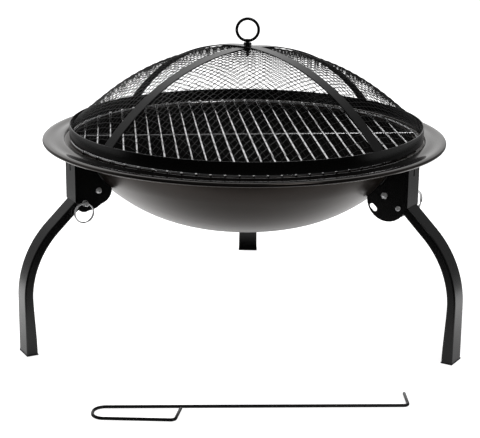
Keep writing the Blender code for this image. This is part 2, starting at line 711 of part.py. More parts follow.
def screen_mesh():
    """The mesh screen as a coarse diamond lattice that sags between the straps."""
    top = CROWN + STRAP_SHEET
    below = STRAP_SHEET + SCREEN_DROP + SCREEN_WIRE / 2
    ball = ball_under(top)
    edge = STRAP_FOOT_RADIUS - below
    bm = bmesh.new()
    rings = []
    for i in range(SCREEN_RINGS + 1):
        radius = SCREEN_HOLE_RADIUS + (edge - SCREEN_HOLE_RADIUS) * i / SCREEN_RINGS
        share = radius / edge
        ring = []
        for j in range(SCREEN_AROUND):
            angle = 2 * math.pi * (j + (i % 2) / 2) / SCREEN_AROUND
            slack = (1 - share) * share**SAG_OUTWARDS / ((1 - SAG_PEAK) * SAG_PEAK**SAG_OUTWARDS)
            sag = SCREEN_SAG * math.cos(2 * angle) ** 2 * slack
            height = top - ball + math.sqrt((ball - below) ** 2 - radius**2) - sag
            ring.append(bm.verts.new((radius * math.cos(angle), radius * math.sin(angle), height)))
        rings.append(ring)
    count = SCREEN_AROUND
    for i in range(SCREEN_RINGS - 1):
        low, middle, high = rings[i], rings[i + 1], rings[i + 2]
        for j in range(count):
            left = middle[(j - 1 + i % 2) % count]
            right = middle[(j + i % 2) % count]
            bm.faces.new((low[j], right, high[j], left))
    for ring, beside, shift in ((rings[0], rings[1], 0), (rings[-1], rings[-2], SCREEN_RINGS % 2)):
        for j in range(count):
            bm.faces.new((ring[j], ring[(j + 1) % count], beside[(j + shift) % count]))
    return finished(bm, "guard_screen")


def eye_handle_mesh():
    """The ring handle and its threaded shank through the crossing straps."""
    top = CROWN + STRAP_LIFT + STRAP_SHEET + GAP + CROWN_NUT_HEIGHT
    line = EYE_RADIUS - EYE_WIRE_RADIUS
    centre = top + EYE_RADIUS
    ring = hoop(line, EYE_WIRE_RADIUS, EYE_STEPS, EYE_WIRE_SIDES, "guard_handle")
    ring.transform(Matrix.Translation((0, 0, centre)) @ Matrix.Rotation(math.radians(90), 4, "X"))
    tail = CROWN - GAP - LOCK_NUT_HEIGHT - EYE_TAIL
    shank = rod(EYE_SHANK_RADIUS, (0, 0, tail), (0, 0, top + EYE_WIRE_RADIUS), EYE_SHANK_SIDES, "shank")
    return combine(ring, [("UNION", shank)])


def poker_mesh():
    """The poker from its loop's left end: the loop folded back on the rod, and the hook square to it."""
    r = POKER_WIRE_RADIUS
    near, far = -POKER_LOOP_NEAR, -POKER_LOOP_FAR
    end = POKER_LENGTH - r
    corners = [
        (POKER_LOOP_LENGTH, -2 * r - GAP, 0),
        (POKER_LOOP_LENGTH - POKER_LOOP_LEAN, far, POKER_BEND),
        (r, near, POKER_NOSE_BEND),
        (r, 0, POKER_NOSE_BEND),
        (end, 0, POKER_BEND),
        (end, POKER_HOOK - r, 0),
    ]
    return bent_wire(rounded(corners, POKER_BEND_STEPS), r, POKER_SIDES, "poker")


def build_bowl(paint, pit):
    add("fire_bowl", bowl_mesh(), paint, pit)


def build_stations(paint, steel, plastic, pit):
    bracket, leg, knuckle, foot = bracket_mesh(), leg_mesh(), knuckle_mesh(), foot_plug_mesh()
    bolt, nut, pin, ring = bolt_mesh(), nut_mesh(), pin_mesh(), split_ring_mesh()
    at_pivot = (PIVOT.x, 0, PIVOT.y)
    at_pin = (PIVOT.x + PIN_FROM_PIVOT.x, 0, PIVOT.y + PIN_FROM_PIVOT.y)
    for name, compass, turn, lean in STATIONS:
        station = empty("station_" + name, pit, turn=compass)
        hinge = empty("hinge_" + name, station, at_pivot)
        add("bracket_" + name, bracket, paint, station)
        add("pivot_bolt_" + name, bolt, steel, station, at_pivot)
        add("pivot_nut_" + name, nut, steel, station, at_pivot)
        add("leg_" + name, leg, paint, hinge)
        add("knuckle_" + name, knuckle, paint, hinge)
        add("foot_plug_" + name, foot, plastic, hinge)
        held = add("lock_pin_" + name, pin, steel, station, at_pin, (0, math.radians(turn), 0))
        add("split_ring_" + name, ring, steel, held, (0, PIN_EYE_PLACE, 0), (math.radians(lean), 0, 0))


def build_grate(chrome, pit):
    add("cooking_grate", grate_mesh(), chrome, pit, rotation=(0, 0, math.radians(GRATE_TURN)))


def build_guard(paint, wire, pit):
    guard = empty("guard", pit, (GUARD_SHIFT, 0, 0))
    inner = BAND_RADIUS - BAND_SHEET
    band = collar(inner, BAND_RADIUS, BAND_BOTTOM, BAND_TOP, BOWL_STEPS, "guard_band")
    add("guard_band", band, paint, guard)
    for name, lift, turn in (("guard_strap_lower", 0.0, 45), ("guard_strap_upper", STRAP_LIFT, 135)):
        add(name, strap_mesh(lift, name), paint, guard, rotation=(0, 0, math.radians(turn)))
    screen = add("guard_screen", screen_mesh(), wire, guard)
    lattice = screen.modifiers.new("Wires", "WIREFRAME")
    lattice.thickness = SCREEN_WIRE
    lattice.use_boundary = True
    lattice.use_even_offset = False
    add("guard_handle", eye_handle_mesh(), paint, guard)
    above = CROWN + STRAP_LIFT + STRAP_SHEET + GAP
    bore = EYE_SHANK_RADIUS + GAP
    crown_nut = hex_nut(bore, CROWN_NUT_RADIUS, above, above + CROWN_NUT_HEIGHT - GAP, "crown_nut")
    add("guard_crown_nut", crown_nut, paint, guard)
    below = CROWN - GAP
    lock_nut = hex_nut(bore, LOCK_NUT_RADIUS, below - LOCK_NUT_HEIGHT, below, "lock_nut")
    add("guard_lock_nut", lock_nut, paint, guard)


def build_poker(paint, pit):
    place = (POKER_LEFT, -RIM_RADIUS - POKER_AHEAD, POKER_WIRE_RADIUS)
    add("poker", poker_mesh(), paint, pit, place, (0, 0, math.radians(POKER_TURN)))


def centre_over_floor(pit):
    """Moves everything sideways, so that the origin lies under the middle of all that stands on the floor."""
    bpy.context.view_layer.update()
    corners = []
    for obj in bpy.data.objects:
        if obj.type == "MESH":
            corners += [obj.matrix_world @ vertex.co for vertex in obj.data.vertices]
    for axis in (0, 1):
        reach = [corner[axis] for corner in corners]
        pit.location[axis] = -(min(reach) + max(reach)) / 2


def main():
    clear_scene()
    black = material("Black heat-resistant paint", (0.012, 0.012, 0.012), 0.35, 0.0)
    brown = material("Dark bowl paint", (0.022, 0.019, 0.018), 0.32, 0.0)
    wire = material("Blackened wire", (0.010, 0.010, 0.010), 0.5, 0.0)
    chrome = material("Chromed wire", (0.75, 0.75, 0.76), 0.16, 1.0)
    steel = material("Zinc-plated steel", (0.62, 0.62, 0.63), 0.3, 1.0)
    plastic = material("Black plastic", (0.014, 0.014, 0.014), 0.5, 0.0)
    pit = empty("fire_pit")
    build_bowl(brown, pit)
    build_stations(black, steel, plastic, pit)
    build_grate(chrome, pit)
    build_guard(black, wire, pit)
    build_poker(black, pit)
    centre_over_floor(pit)


main()
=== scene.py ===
"""The looks of the folding fire pit: painted bowl and legs, chromed grate, woven guard, plated fasteners.

Every place comes from the frame: the bowl's axis and rim from its box, each leg's station from its fold
joint, each lock pin and split ring from its own joint. Metres, +Z up; slopes, turns and rolls in degrees.
"""

import math

import bmesh
import bpy
from mathutils import Matrix, Vector
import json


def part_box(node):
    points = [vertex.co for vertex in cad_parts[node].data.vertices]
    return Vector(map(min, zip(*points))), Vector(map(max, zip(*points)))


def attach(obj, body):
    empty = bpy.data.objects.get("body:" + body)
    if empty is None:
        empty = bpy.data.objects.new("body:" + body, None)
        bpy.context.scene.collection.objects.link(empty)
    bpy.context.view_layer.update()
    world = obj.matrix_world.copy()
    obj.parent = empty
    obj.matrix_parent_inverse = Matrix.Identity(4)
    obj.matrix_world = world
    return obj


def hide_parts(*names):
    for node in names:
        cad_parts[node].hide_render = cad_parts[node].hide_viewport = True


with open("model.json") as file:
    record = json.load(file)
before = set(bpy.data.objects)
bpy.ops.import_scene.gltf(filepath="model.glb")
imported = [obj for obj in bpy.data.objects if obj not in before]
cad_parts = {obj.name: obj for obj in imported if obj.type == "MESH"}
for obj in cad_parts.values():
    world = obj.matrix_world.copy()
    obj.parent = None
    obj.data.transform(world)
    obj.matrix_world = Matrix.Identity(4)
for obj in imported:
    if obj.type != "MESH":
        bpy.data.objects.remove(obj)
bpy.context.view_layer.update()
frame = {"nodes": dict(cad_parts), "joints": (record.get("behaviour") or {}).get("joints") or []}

UP = Vector((0, 0, 1))

# Bowl, as the frame has it
BOWL_LOW, BOWL_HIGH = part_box("fire_bowl")
AXIS = Vector(((BOWL_LOW.x + BOWL_HIGH.x) / 2, (BOWL_LOW.y + BOWL_HIGH.y) / 2, 0))
RIM_RADIUS = (BOWL_HIGH.x - BOWL_LOW.x) / 2
BOWL_BOTTOM = BOWL_LOW.z
SHEET = 0.0015
LIP_BEAD_RADIUS = 0.0025
LIP_DROP = 0.0030
RIM_DIP = 0.0011
RIM_HEIGHT = BOWL_HIGH.z + LIP_DROP - LIP_BEAD_RADIUS
FLANGE_WIDTH = 0.030
LEDGE_WIDTH = 0.0135
SHOULDER_WIDTH = 0.0205
SEAT_RADIUS = RIM_RADIUS - FLANGE_WIDTH
SEAT_DEPTH = 0.0031
LEDGE_TOP = RIM_HEIGHT - SEAT_DEPTH
WALL_TOP_RADIUS = SEAT_RADIUS - LEDGE_WIDTH
SIDE_RADIUS = WALL_TOP_RADIUS - SHOULDER_WIDTH
SIDE_RISE = 0.0795
BOWL_FULLNESS = 2.9
BOWL_FOLD = 0.0012
LATHE_STEPS = 192

# Leg tube, from its outer face
LEG_WIDTH = 0.028
LEG_DEPTH = 0.012
LEG_WALL = 0.0015
LEG_CORNER = 0.0018
LEG_SLOPE = 43.5
LEG_BEND_RADIUS = 0.135
FOOT_DEPTH = 0.0155
FOOT_WIDTH = 0.0295
FLARE_HEIGHT = 0.090
FOOT_PLUG_BASE = 0.002
WEB_OUT = 0.033
WEB_DOWN = 0.013
LEG_FOOT_REACH = 0.106
PIN_ORBIT = 0.025

# Fasteners
GAP = 0.0003
BRACKET_HALF = 0.0165
BOLT_RADIUS = 0.00275
BOLT_HEAD_RADIUS = 0.00425
BOLT_HEAD_HEIGHT = 0.003
BOLT_DOME_HEIGHT = BOLT_HEAD_HEIGHT * 0.75
BOLT_TIP = 0.0005
SOCKET_RADIUS = 0.0019
SOCKET_DEPTH = 0.0020
NUT_RADIUS = 0.0048
NUT_HEIGHT = 0.003
WELD_RADIUS = 0.0016
WELD_SINK = 0.0002
PIN_RADIUS = 0.0034
PIN_CHAMFER = 0.0012
PIN_TIP = 0.0025
PIN_COLLAR_RADIUS = 0.0042
PIN_COLLAR = 0.0010
PIN_HEAD_LENGTH = 0.0072
PIN_EYE = 0.0034
PIN_HOLE_RADIUS = 0.0023
RING_RADIUS = 0.0140
RING_STRAND_RADIUS = 0.0009
RING_STRAND_SHIFT = 0.00098
RING_START = 250
RING_WOUND = 705

# Grate, from its box: the ring at the bottom and the bars on top
GRATE_LOW, GRATE_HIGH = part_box("cooking_grate")
GRATE_RING_RADIUS = 0.2405
GRATE_RING_WIRE = 0.0040
GRATE_BAR_WIRE = 0.0032
GRATE_CROSS_WIRE = 0.0030
GRATE_WELD_RADIUS = GRATE_BAR_WIRE * 0.62
GRATE_BAR_REACH = 0.2465
GRATE_BARS = 26
GRATE_PITCH = 0.01753
GRATE_PATTERN_SHIFT = -0.0025
GRATE_TURN = 6.9
GRATE_RING_HEIGHT = GRATE_LOW.z + GRATE_RING_WIRE / 2
GRATE_BAR_HEIGHT = GRATE_HIGH.z - GRATE_BAR_WIRE / 2

# Guard, from the band's box. The mesh rises to the upper strap, and comes down again, between these shares
# of the dome's radius, and the straps end inside the CAD band's flat sides
BAND_LOW, BAND_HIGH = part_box("guard_band")
GUARD_AXIS = Vector(((BAND_LOW.x + BAND_HIGH.x) / 2, (BAND_LOW.y + BAND_HIGH.y) / 2, 0))
BAND_RADIUS = (BAND_HIGH.x - BAND_LOW.x) / 2
BAND_SHEET = 0.0013
BAND_TOP = BAND_HIGH.z
BAND_CAD_SIDES = 48
STRAP_WIDTH = 0.0172
STRAP_SHEET = 0.0015
STRAP_TAIL = 0.0125
STRAP_LIFT = 0.0019
STRAP_FOOT_RADIUS = BAND_RADIUS - BAND_SHEET - STRAP_WIDTH / 2 * math.tan(math.pi / BAND_CAD_SIDES) - GAP
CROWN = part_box("guard_strap_lower")[1].z - STRAP_SHEET
MESH_PITCH = 0.0070
MESH_WIRE_RADIUS = 0.00039
MESH_DROP = STRAP_SHEET + 0.00135
MESH_SAG = 0.0035
MESH_SAG_POWER = 7
MESH_LIFT_SHARES = (0.02, 0.20, 0.75, 1.0)
MESH_TUCK = 0.009
EYE_RADIUS = 0.017
EYE_WIRE_RADIUS = 0.002
SHANK_RADIUS = 0.0025
THREAD_PITCH = 0.0008
NECK_WAIST_RADIUS = 0.0023
NECK_MOUTH_RADIUS = 0.0036
NECK_ROOT = 0.002
NECK_HEIGHT = 0.0042
CROWN_NUT_RADIUS = 0.0055
LOCK_NUT_RADIUS = 0.0042

# Poker
POKER_WIRE_RADIUS = 0.002
POKER_LENGTH = 0.3885
POKER_LOOP_LENGTH = 0.108
POKER_LOOP_NEAR = 0.033
POKER_LOOP_FAR = 0.0395
POKER_LOOP_LEAN = 0.007
POKER_HOOK = 0.041
POKER_BEND = 0.006
POKER_NOSE_BEND = 0.0145
POKER_TURN = 3.6

# Camera, as the photograph was taken: the lens and sensor in millimetres, the roll in degrees
CAMERA_PLACE = Vector((0.0447, -1.8423, 0.6768))
CAMERA_AIM = Vector((-0.0043, 0.0, 0.1511))
CAMERA_ROLL = 0.6
CAMERA_LENS = 102.13
CAMERA_SENSOR = 36.0

# Studio floor. A fade is where it starts and ends: along Y, or as a squared distance from its middle
FLOOR_HALF = 12
FLOOR_GLOW = 0.80
# Reflections of the floor see a painted pool of light that glows behind the object
FLOOR_PAINTED_BACK_GLOW = 0.85
FLOOR_CLOTH = 0.8
FLOOR_FAR_CLOTH = 0.4
FLOOR_PAINTED_POOL_CLOTH = 0.7
FLOOR_FRONT_FADE = (-0.40, -0.26)
FLOOR_BACK_FADE = (-0.15, 0.12)
FLOOR_PAINTED_POOL_FADE = (0.16, 0.8)
# A painted shadow round the rear foot, seen only in reflections of the floor
FLOOR_PAINTED_SHADOW_Y = 0.33
FLOOR_PAINTED_SHADOW_FADE = (0.006, 0.030)

# Backdrop, by the direction looked in. A side is 1 for right or -1 for left, its fade, and what that takes
BACKDROP_DIFFUSE = 0.55
BACKDROP_DARK = 0.94
BACKDROP_FRONT_FADE = (-0.35, -0.05)
BACKDROP_TOP_FADE = (0.66, 0.80)
BACKDROP_SIDE_FADES = ((1, (0.02, 0.60), 0.86), (-1, (0.33, 0.48), 0.5), (-1, (0.60, 0.75), 0.5))
LAMP_AIM = Vector((0, 0, 0.2))


# Node trees


class Flow:
    """What comes out of a node's socket, so that maths in a node tree reads as Python."""

    def __init__(self, tree, socket):
        self.tree = tree
        self.socket = socket

    def maths(self, operation, *others):
        return self.tree.node("ShaderNodeMath", {"operation": operation}, dict(enumerate((self, *others))))

    def flipped(self, operation, other):
        return self.tree.node("ShaderNodeMath", {"operation": operation}, {0: other, 1: self})

    def __add__(self, other):
        return self.maths("ADD", other)

    def __sub__(self, other):
        return self.maths("SUBTRACT", other)

    def __mul__(self, other):
        return self.maths("MULTIPLY", other)

    def __truediv__(self, other):
        return self.maths("DIVIDE", other)

    def __pow__(self, other):
        return self.maths("POWER", other)

    def __rsub__(self, other):
        return self.flipped("SUBTRACT", other)

    def __rtruediv__(self, other):
        return self.flipped("DIVIDE", other)

    __radd__ = __add__
    __rmul__ = __mul__

    def smooth(self, low, high):
        """0 below low and 1 above high, with a soft change between."""
        settings = {"interpolation_type": "SMOOTHSTEP"}
        inputs = {"Value": self, "From Min": low, "From Max": high}
        return self.tree.node("ShaderNodeMapRange", settings, inputs)

    def part(self, name):
        """Another output of the node that this came from."""
        return Flow(self.tree, self.socket.node.outputs[name])


class Tree:
    """A node tree, shader or geometry, written as calls."""

    def __init__(self, nodes):
        self.nodes = nodes

    def node(self, kind, settings=None, inputs=None):
        """One node: its settings first, then the values and links of its sockets, by name or number."""
        made = self.nodes.nodes.new(kind)
        for name, value in (settings or {}).items():
            setattr(made, name, value)
        for name, value in (inputs or {}).items():
            if isinstance(value, Flow):
                self.nodes.links.new(value.socket, made.inputs[name])
            else:
                made.inputs[name].default_value = value
        return Flow(self, made.outputs[0]) if made.outputs else None

    def axes(self, vector):
        """The x, y and z of a vector."""
        split = self.node("ShaderNodeSeparateXYZ", inputs={"Vector": vector})
        return split, split.part("Y"), split.part("Z")

    def vector(self, x=0.0, y=0.0, z=0.0):
        return self.node("ShaderNodeCombineXYZ", inputs={"X": x, "Y": y, "Z": z})

    def noise(self, where, scale, detail=3.0):
        return self.node("ShaderNodeTexNoise", inputs={"Vector": where, "Scale": scale, "Detail": detail})

    def blend(self, amount, first, second):
        """A colour between two, each fixed or a flow, by an amount from 0 to 1."""
        mix = self.nodes.nodes.new("ShaderNodeMix")
        mix.data_type = "RGBA"
        sockets = {socket.identifier: socket for socket in mix.inputs}
        self.nodes.links.new(amount.socket, sockets["Factor_Float"])
        for name, colour in (("A_Color", first), ("B_Color", second)):
            if isinstance(colour, Flow):
                self.nodes.links.new(colour.socket, sockets[name])
            else:
                sockets[name].default_value = (*colour, 1.0)
        return Flow(self, next(s for s in mix.outputs if s.identifier == "Result_Color"))

    def joined(self, *shapes):
        """One geometry from several."""
        whole = self.node("GeometryNodeJoinGeometry")
        for shape in shapes:
            self.nodes.links.new(shape.socket, whole.socket.node.inputs[0])
        return whole


def emptied(owner):
    """The node tree of a material or a world, without the nodes that it starts with."""
    owner.use_nodes = True
    owner.node_tree.nodes.clear()
    return Tree(owner.node_tree)


# Finishes


def finish(name, recipe, **steady):
    """A material: what is steady goes on the shader's sockets, and the recipe returns what varies."""
    made = bpy.data.materials.new(name)
    made.use_nodes = True
    tree = Tree(made.node_tree)
    shader = made.node_tree.nodes["Principled BSDF"]
    for socket, value in steady.items():
        shader.inputs[socket.replace("_", " ")].default_value = value
    where = tree.node("ShaderNodeTexCoord").part("Object")
    for socket, flow in recipe(tree, where).items():
        made.node_tree.links.new(flow.socket, shader.inputs[socket.replace("_", " ")])
    return made


def raised(tree, height, strength, distance):
    """A bump from a height flow."""
    return tree.node("ShaderNodeBump", inputs={"Height": height, "Strength": strength, "Distance": distance})


def bowl_enamel(tree, where):
    """Warm near-black paint: smooth and glossy on the flange, with a faint peel on the dished outside."""
    x, y, _ = tree.axes(where)
    side = y - AXIS.y
    radius = (x * x + side * side) ** 0.5
    flange = radius.smooth(SEAT_RADIUS - 0.003, SEAT_RADIUS + 0.002)
    cloud = tree.noise(where, 7.0, 4.0)
    peel = tree.noise(where, 380.0, 1.0)
    dish = tree.blend(cloud.smooth(0.35, 0.7), (0.0100, 0.0070, 0.0056), (0.0140, 0.0100, 0.0080))
    colour = tree.blend(flange, dish, (0.0026, 0.0023, 0.0022))
    roughness = 0.36 - flange * 0.25 + (cloud - 0.5) * 0.08
    return {
        "Base_Color": colour,
        "Roughness": roughness,
        "Normal": raised(tree, peel * (1 - flange), 0.06, 0.0002),
    }


def bowl_inside_painted_shade(tree, where):
    """Near-black matt paint inside the bowl, darker and less glossy than the outside: painted shade for its
    deep inside.
    """
    grain = tree.noise(where, 900.0, 3.0)
    cloud = tree.noise(where, 12.0, 4.0)
    return {
        "Base_Color": tree.blend(cloud, (0.0026, 0.0024, 0.0023), (0.0050, 0.0047, 0.0045)),
        "Roughness": 0.70 + grain * 0.1,
        "Normal": raised(tree, grain, 0.15, 0.0002),
    }


def powder_coat(tree, where):
    """Satin black powder coat with its fine texture."""
    grain = tree.noise(where, 1400.0, 2.0)
    cloud = tree.noise(where, 18.0, 4.0)
    return {
        "Base_Color": tree.blend(cloud, (0.0009, 0.0009, 0.0009), (0.0018, 0.0018, 0.0017)),
        "Roughness": 0.23 + (cloud - 0.5) * 0.08 + grain * 0.04,
        "Normal": raised(tree, grain, 0.05, 0.0001),
    }


def wire_paint(tree, where):
    """Smooth black dip paint on the poker and the ring handle."""
    cloud = tree.noise(where, 45.0, 3.0)
    drip = tree.noise(where, 160.0, 2.0)
    return {
        "Base_Color": tree.blend(cloud, (0.0028, 0.0028, 0.0028), (0.0055, 0.0055, 0.0055)),
        "Roughness": 0.16 + cloud * 0.08,
        "Normal": raised(tree, drip, 0.02, 0.0003),
    }


def screen_oxide(tree, where):
    """Blackened woven wire."""
    cloud = tree.noise(where, 30.0, 3.0)
    return {
        "Base_Color": tree.blend(cloud, (0.005, 0.005, 0.005), (0.012, 0.0117, 0.0114)),
        "Roughness": 0.22 + cloud * 0.2,
    }


def chrome(tree, where):
    """Bright chrome with fine drawing lines along the bars and a few cloudy patches."""
    turned_place = tree.node(
        "ShaderNodeMapping",
        {"vector_type": "TEXTURE"},
        {"Vector": where, "Rotation": (0, 0, math.radians(GRATE_TURN)), "Scale": (1.0, 30.0, 1.0)},
    )
    lines = tree.noise(turned_place, 1800.0, 2.0)
    cloud = tree.noise(where, 22.0, 4.0)
    return {
        "Base_Color": tree.blend(cloud.smooth(0.3, 0.75), (0.80, 0.80, 0.81), (0.62, 0.62, 0.63)),
        "Roughness": 0.05 + cloud.smooth(0.45, 0.8) * 0.10 + lines * 0.03,
        "Normal": raised(tree, lines, 0.06, 0.0001),
    }


def zinc(tree, where):
    """Bright zinc plate, slightly mottled."""
    spangle = tree.node("ShaderNodeTexVoronoi", inputs={"Vector": where, "Scale": 900.0})
    cloud = tree.noise(where, 260.0, 3.0)
    return {
        "Base_Color": tree.blend(cloud, (0.66, 0.66, 0.66), (0.88, 0.88, 0.89)),
        "Roughness": 0.16 + cloud * 0.12,
        "Normal": raised(tree, spangle, 0.10, 0.0001),
    }


def moulded_plastic(tree, where):
    """Black moulded plastic with a fine matt grain."""
    grain = tree.noise(where, 2200.0, 2.0)
    cloud = tree.noise(where, 60.0, 3.0)
    return {
        "Base_Color": tree.blend(cloud, (0.008, 0.008, 0.008), (0.014, 0.014, 0.014)),
        "Roughness": 0.50 + cloud * 0.12,
        "Normal": raised(tree, grain, 0.25, 0.0001),
    }


# Shapes


def finished(bm, name):
    """The mesh, with its faces turned outwards."""
    bmesh.ops.recalc_face_normals(bm, faces=bm.faces)
    mesh = bpy.data.meshes.new(name)
    bm.to_mesh(mesh)
    bm.free()
    return mesh


def merged(name, *meshes):
    """One mesh from several."""
    bm = bmesh.new()
    for mesh in meshes:
        bm.from_mesh(mesh)
    return finished(bm, name)


def bridge(bm, first, second):
    """Faces all round between two rings with the same number of points."""
    for a, b, c, d in zip(first, first[1:] + first[:1], second[1:] + second[:1], second):
        bm.faces.new((a, b, c, d))


def added(name, data):
    """A new object in the scene."""
    obj = bpy.data.objects.new(name, data)
    bpy.context.scene.collection.objects.link(obj)
    return obj


def piece(name, mesh, *looks, place=None, sharp=40):
    """An object at the origin whose place is in its mesh. Edges of more than sharp degrees stay hard.

    A mesh without materials isn't cleared, because that would forget which of the looks each face has.
    """
    if place is not None:
        mesh.transform(place)
    if mesh.materials:
        mesh.materials.clear()
    for look in looks:
        mesh.materials.append(look)
    if sharp:
        mesh.shade_smooth()
        mesh.set_sharp_from_angle(angle=math.radians(sharp))
    return added(name, mesh)


def baked(obj):
    """The object's mesh after its modifiers. The object itself goes."""
    graph = bpy.context.evaluated_depsgraph_get()
    mesh = bpy.data.meshes.new_from_object(obj.evaluated_get(graph))
    bpy.data.objects.remove(obj, do_unlink=True)
    return mesh


def heading(degrees):
    """The unit vector at this angle."""
    angle = math.radians(degrees)
    return Vector((math.cos(angle), math.sin(angle)))


def circle(centre, radius, start, end, steps):
    """Points on an arc, by angles in degrees, both ends included."""
    turns = [start + (end - start) * i / steps for i in range(steps + 1)]
    return [Vector(centre) + radius * heading(turn) for turn in turns]


def held_circle(centre, radius, start, end, steps):
    """An arc with a point on each of the flats that it joins, so that the flats shade flat."""
    arc = circle(centre, radius, start, end, steps)
    hold = min(0.0006, radius / 2)
    turn = math.copysign(90, start - end)
    return [arc[0] + heading(start + turn) * hold, *arc, arc[-1] + heading(end - turn) * hold]


def side_of(points):
    """The normal to the left at each point of an open path, longer at corners to keep an offset even."""
    least = 0.3
    normals = []
    for i in range(len(points)):
        before = points[i] - points[i - 1] if i else points[1] - points[0]
        after = points[i + 1] - points[i] if i + 1 < len(points) else before
        first = Vector((-before.y, before.x)).normalized()
        second = Vector((-after.y, after.x)).normalized()
        middle = (first + second).normalized()
        normals.append(middle / max(least, middle.dot(first)))
    return normals


def offset(points, distance):
    """The path moved to its left."""
    return [p + n * distance for p, n in zip(points, side_of(points))]


def rounded(corners, steps):
    """A flat route through (x, y, radius) corners, each turned into an arc of its radius."""
    points = [Vector(c[:2]) for c in corners]
    route = [points[0]]
    for a, b, c, corner in zip(points, points[1:], points[2:], corners[1:]):
        into, out = (a - b).normalized(), (c - b).normalized()
        half = into.angle(out) / 2
        centre = b + (into + out).normalized() * corner[2] / math.sin(half)
        first = b + into * corner[2] / math.tan(half) - centre
        second = b + out * corner[2] / math.tan(half) - centre
        turn = math.atan2(first.x * second.y - first.y * second.x, first.dot(second))
        route += [centre + Matrix.Rotation(turn * i / steps, 2) @ first for i in range(steps + 1)]
    return route + [points[-1]]


def turned(outline, steps, name, shape=None, inside=None):
    """A closed outline of (radius, height) points turned round Z.

    shape gives each point's radius at an angle, for a part that isn't round. inside is the range of points
    whose faces take the second material.
    """
    bm = bmesh.new()
    rings = []
    for i, (radius, height) in enumerate(outline):
        if radius < 1e-7:
            rings.append([bm.verts.new((0, 0, height))] * steps)
            continue
        ring = []
        for j in range(steps):
            angle = 2 * math.pi * j / steps
            reach = radius if shape is None else shape(i, radius, angle)
            ring.append(bm.verts.new((reach * math.cos(angle), reach * math.sin(angle), height)))
        rings.append(ring)
    for i, (first, second) in enumerate(zip(rings, rings[1:] + rings[:1])):
        for j in range(steps):
            corners = [first[j], first[(j + 1) % steps], second[(j + 1) % steps], second[j]]
            corners = list(dict.fromkeys(corners))
            if len(corners) > 2:
                face = bm.faces.new(corners)
                face.material_index = int(inside is not None and i in inside)
    return finished(bm, name)


def wire(name, route, radius, closed=False, sides=16, round_ends=False):
    """A round wire along a smooth route, as a mesh."""
    points = [(Vector(p), 1.0) for p in route]
    if round_ends:
        points = dome_ends(points, radius)
    curve = bpy.data.curves.new(name, "CURVE")
    curve.dimensions = "3D"
    curve.bevel_depth = radius
    curve.bevel_resolution = sides // 4 - 1
    curve.use_fill_caps = not closed
    spline = curve.splines.new("POLY")
    spline.points.add(len(points) - 1)
    for point, (place, share) in zip(spline.points, points):
        point.co = (*place, 1.0)
        point.radius = share
    spline.use_cyclic_u = closed
    mesh = baked(added(name, curve))
    bpy.data.curves.remove(curve)
    return mesh


def dome_ends(points, radius):
    """The route with a half ball worked into each end."""
    steps = 5
    domed = []
    for end, beside in ((points[0][0], points[1][0]), (points[-1][0], points[-2][0])):
        inwards = (beside - end).normalized()
        cap = []
        for i in range(steps):
            angle = math.pi / 2 * (i + 0.25) / steps
            cap.append((end + inwards * radius * (1 - math.cos(angle)), math.sin(angle)))
        domed.append(cap)
    first, last = domed
    return first + points[1:-1] + last[::-1]


def softened(node, name, *looks, width=0.0004):
    """A copy of a CAD node's mesh with its points merged and its edges broken."""
    mesh = frame["nodes"][node].data.copy()
    bm = bmesh.new()
    bm.from_mesh(mesh)
    bmesh.ops.remove_doubles(bm, verts=bm.verts, dist=1e-5)
    bmesh.ops.dissolve_limit(bm, angle_limit=math.radians(0.5), verts=bm.verts, edges=bm.edges)
    bm.to_mesh(mesh)
    bm.free()
    mesh.shade_smooth()
    obj = added(name, mesh)
    edge = obj.modifiers.new("Edge", "BEVEL")
    edge.width = width
    edge.segments = 2
    edge.limit_method = "ANGLE"
    edge.angle_limit = math.radians(38)
    edge.use_clamp_overlap = True
    flat = obj.modifiers.new("Flat", "WEIGHTED_NORMAL")
    flat.mode = "FACE_AREA"
    flat.weight = 100
    return piece(name, baked(obj), *looks, sharp=None)


def grown(name, plan, sizes, look, place):
    """A mesh grown by Geometry Nodes: plan builds the tree from its named sizes and returns the geometry."""
    group = bpy.data.node_groups.new(name, "GeometryNodeTree")
    group.interface.new_socket("Geometry", in_out="OUTPUT", socket_type="NodeSocketGeometry")
    identifiers = {}
    for label, value in sizes.items():
        kind = "NodeSocketInt" if isinstance(value, int) else "NodeSocketFloat"
        identifiers[label] = group.interface.new_socket(label, in_out="INPUT", socket_type=kind).identifier
    tree = Tree(group)
    entry = group.nodes.new("NodeGroupInput")
    shape = plan(tree, {label: Flow(tree, entry.outputs[label]) for label in sizes})
    real = tree.node("GeometryNodeRealizeInstances", inputs={"Geometry": shape})
    painted = tree.node("GeometryNodeSetMaterial", inputs={"Geometry": real, "Material": look})
    result = group.nodes.new("NodeGroupOutput")
    group.links.new(painted.socket, result.inputs["Geometry"])
    obj = added(name, bpy.data.meshes.new(name))
    modifier = obj.modifiers.new("Grown", "NODES")
    modifier.node_group = group
    for label, value in sizes.items():
        modifier[identifiers[label]] = value
    return piece(name, baked(obj), look, place=place)


# Bowl


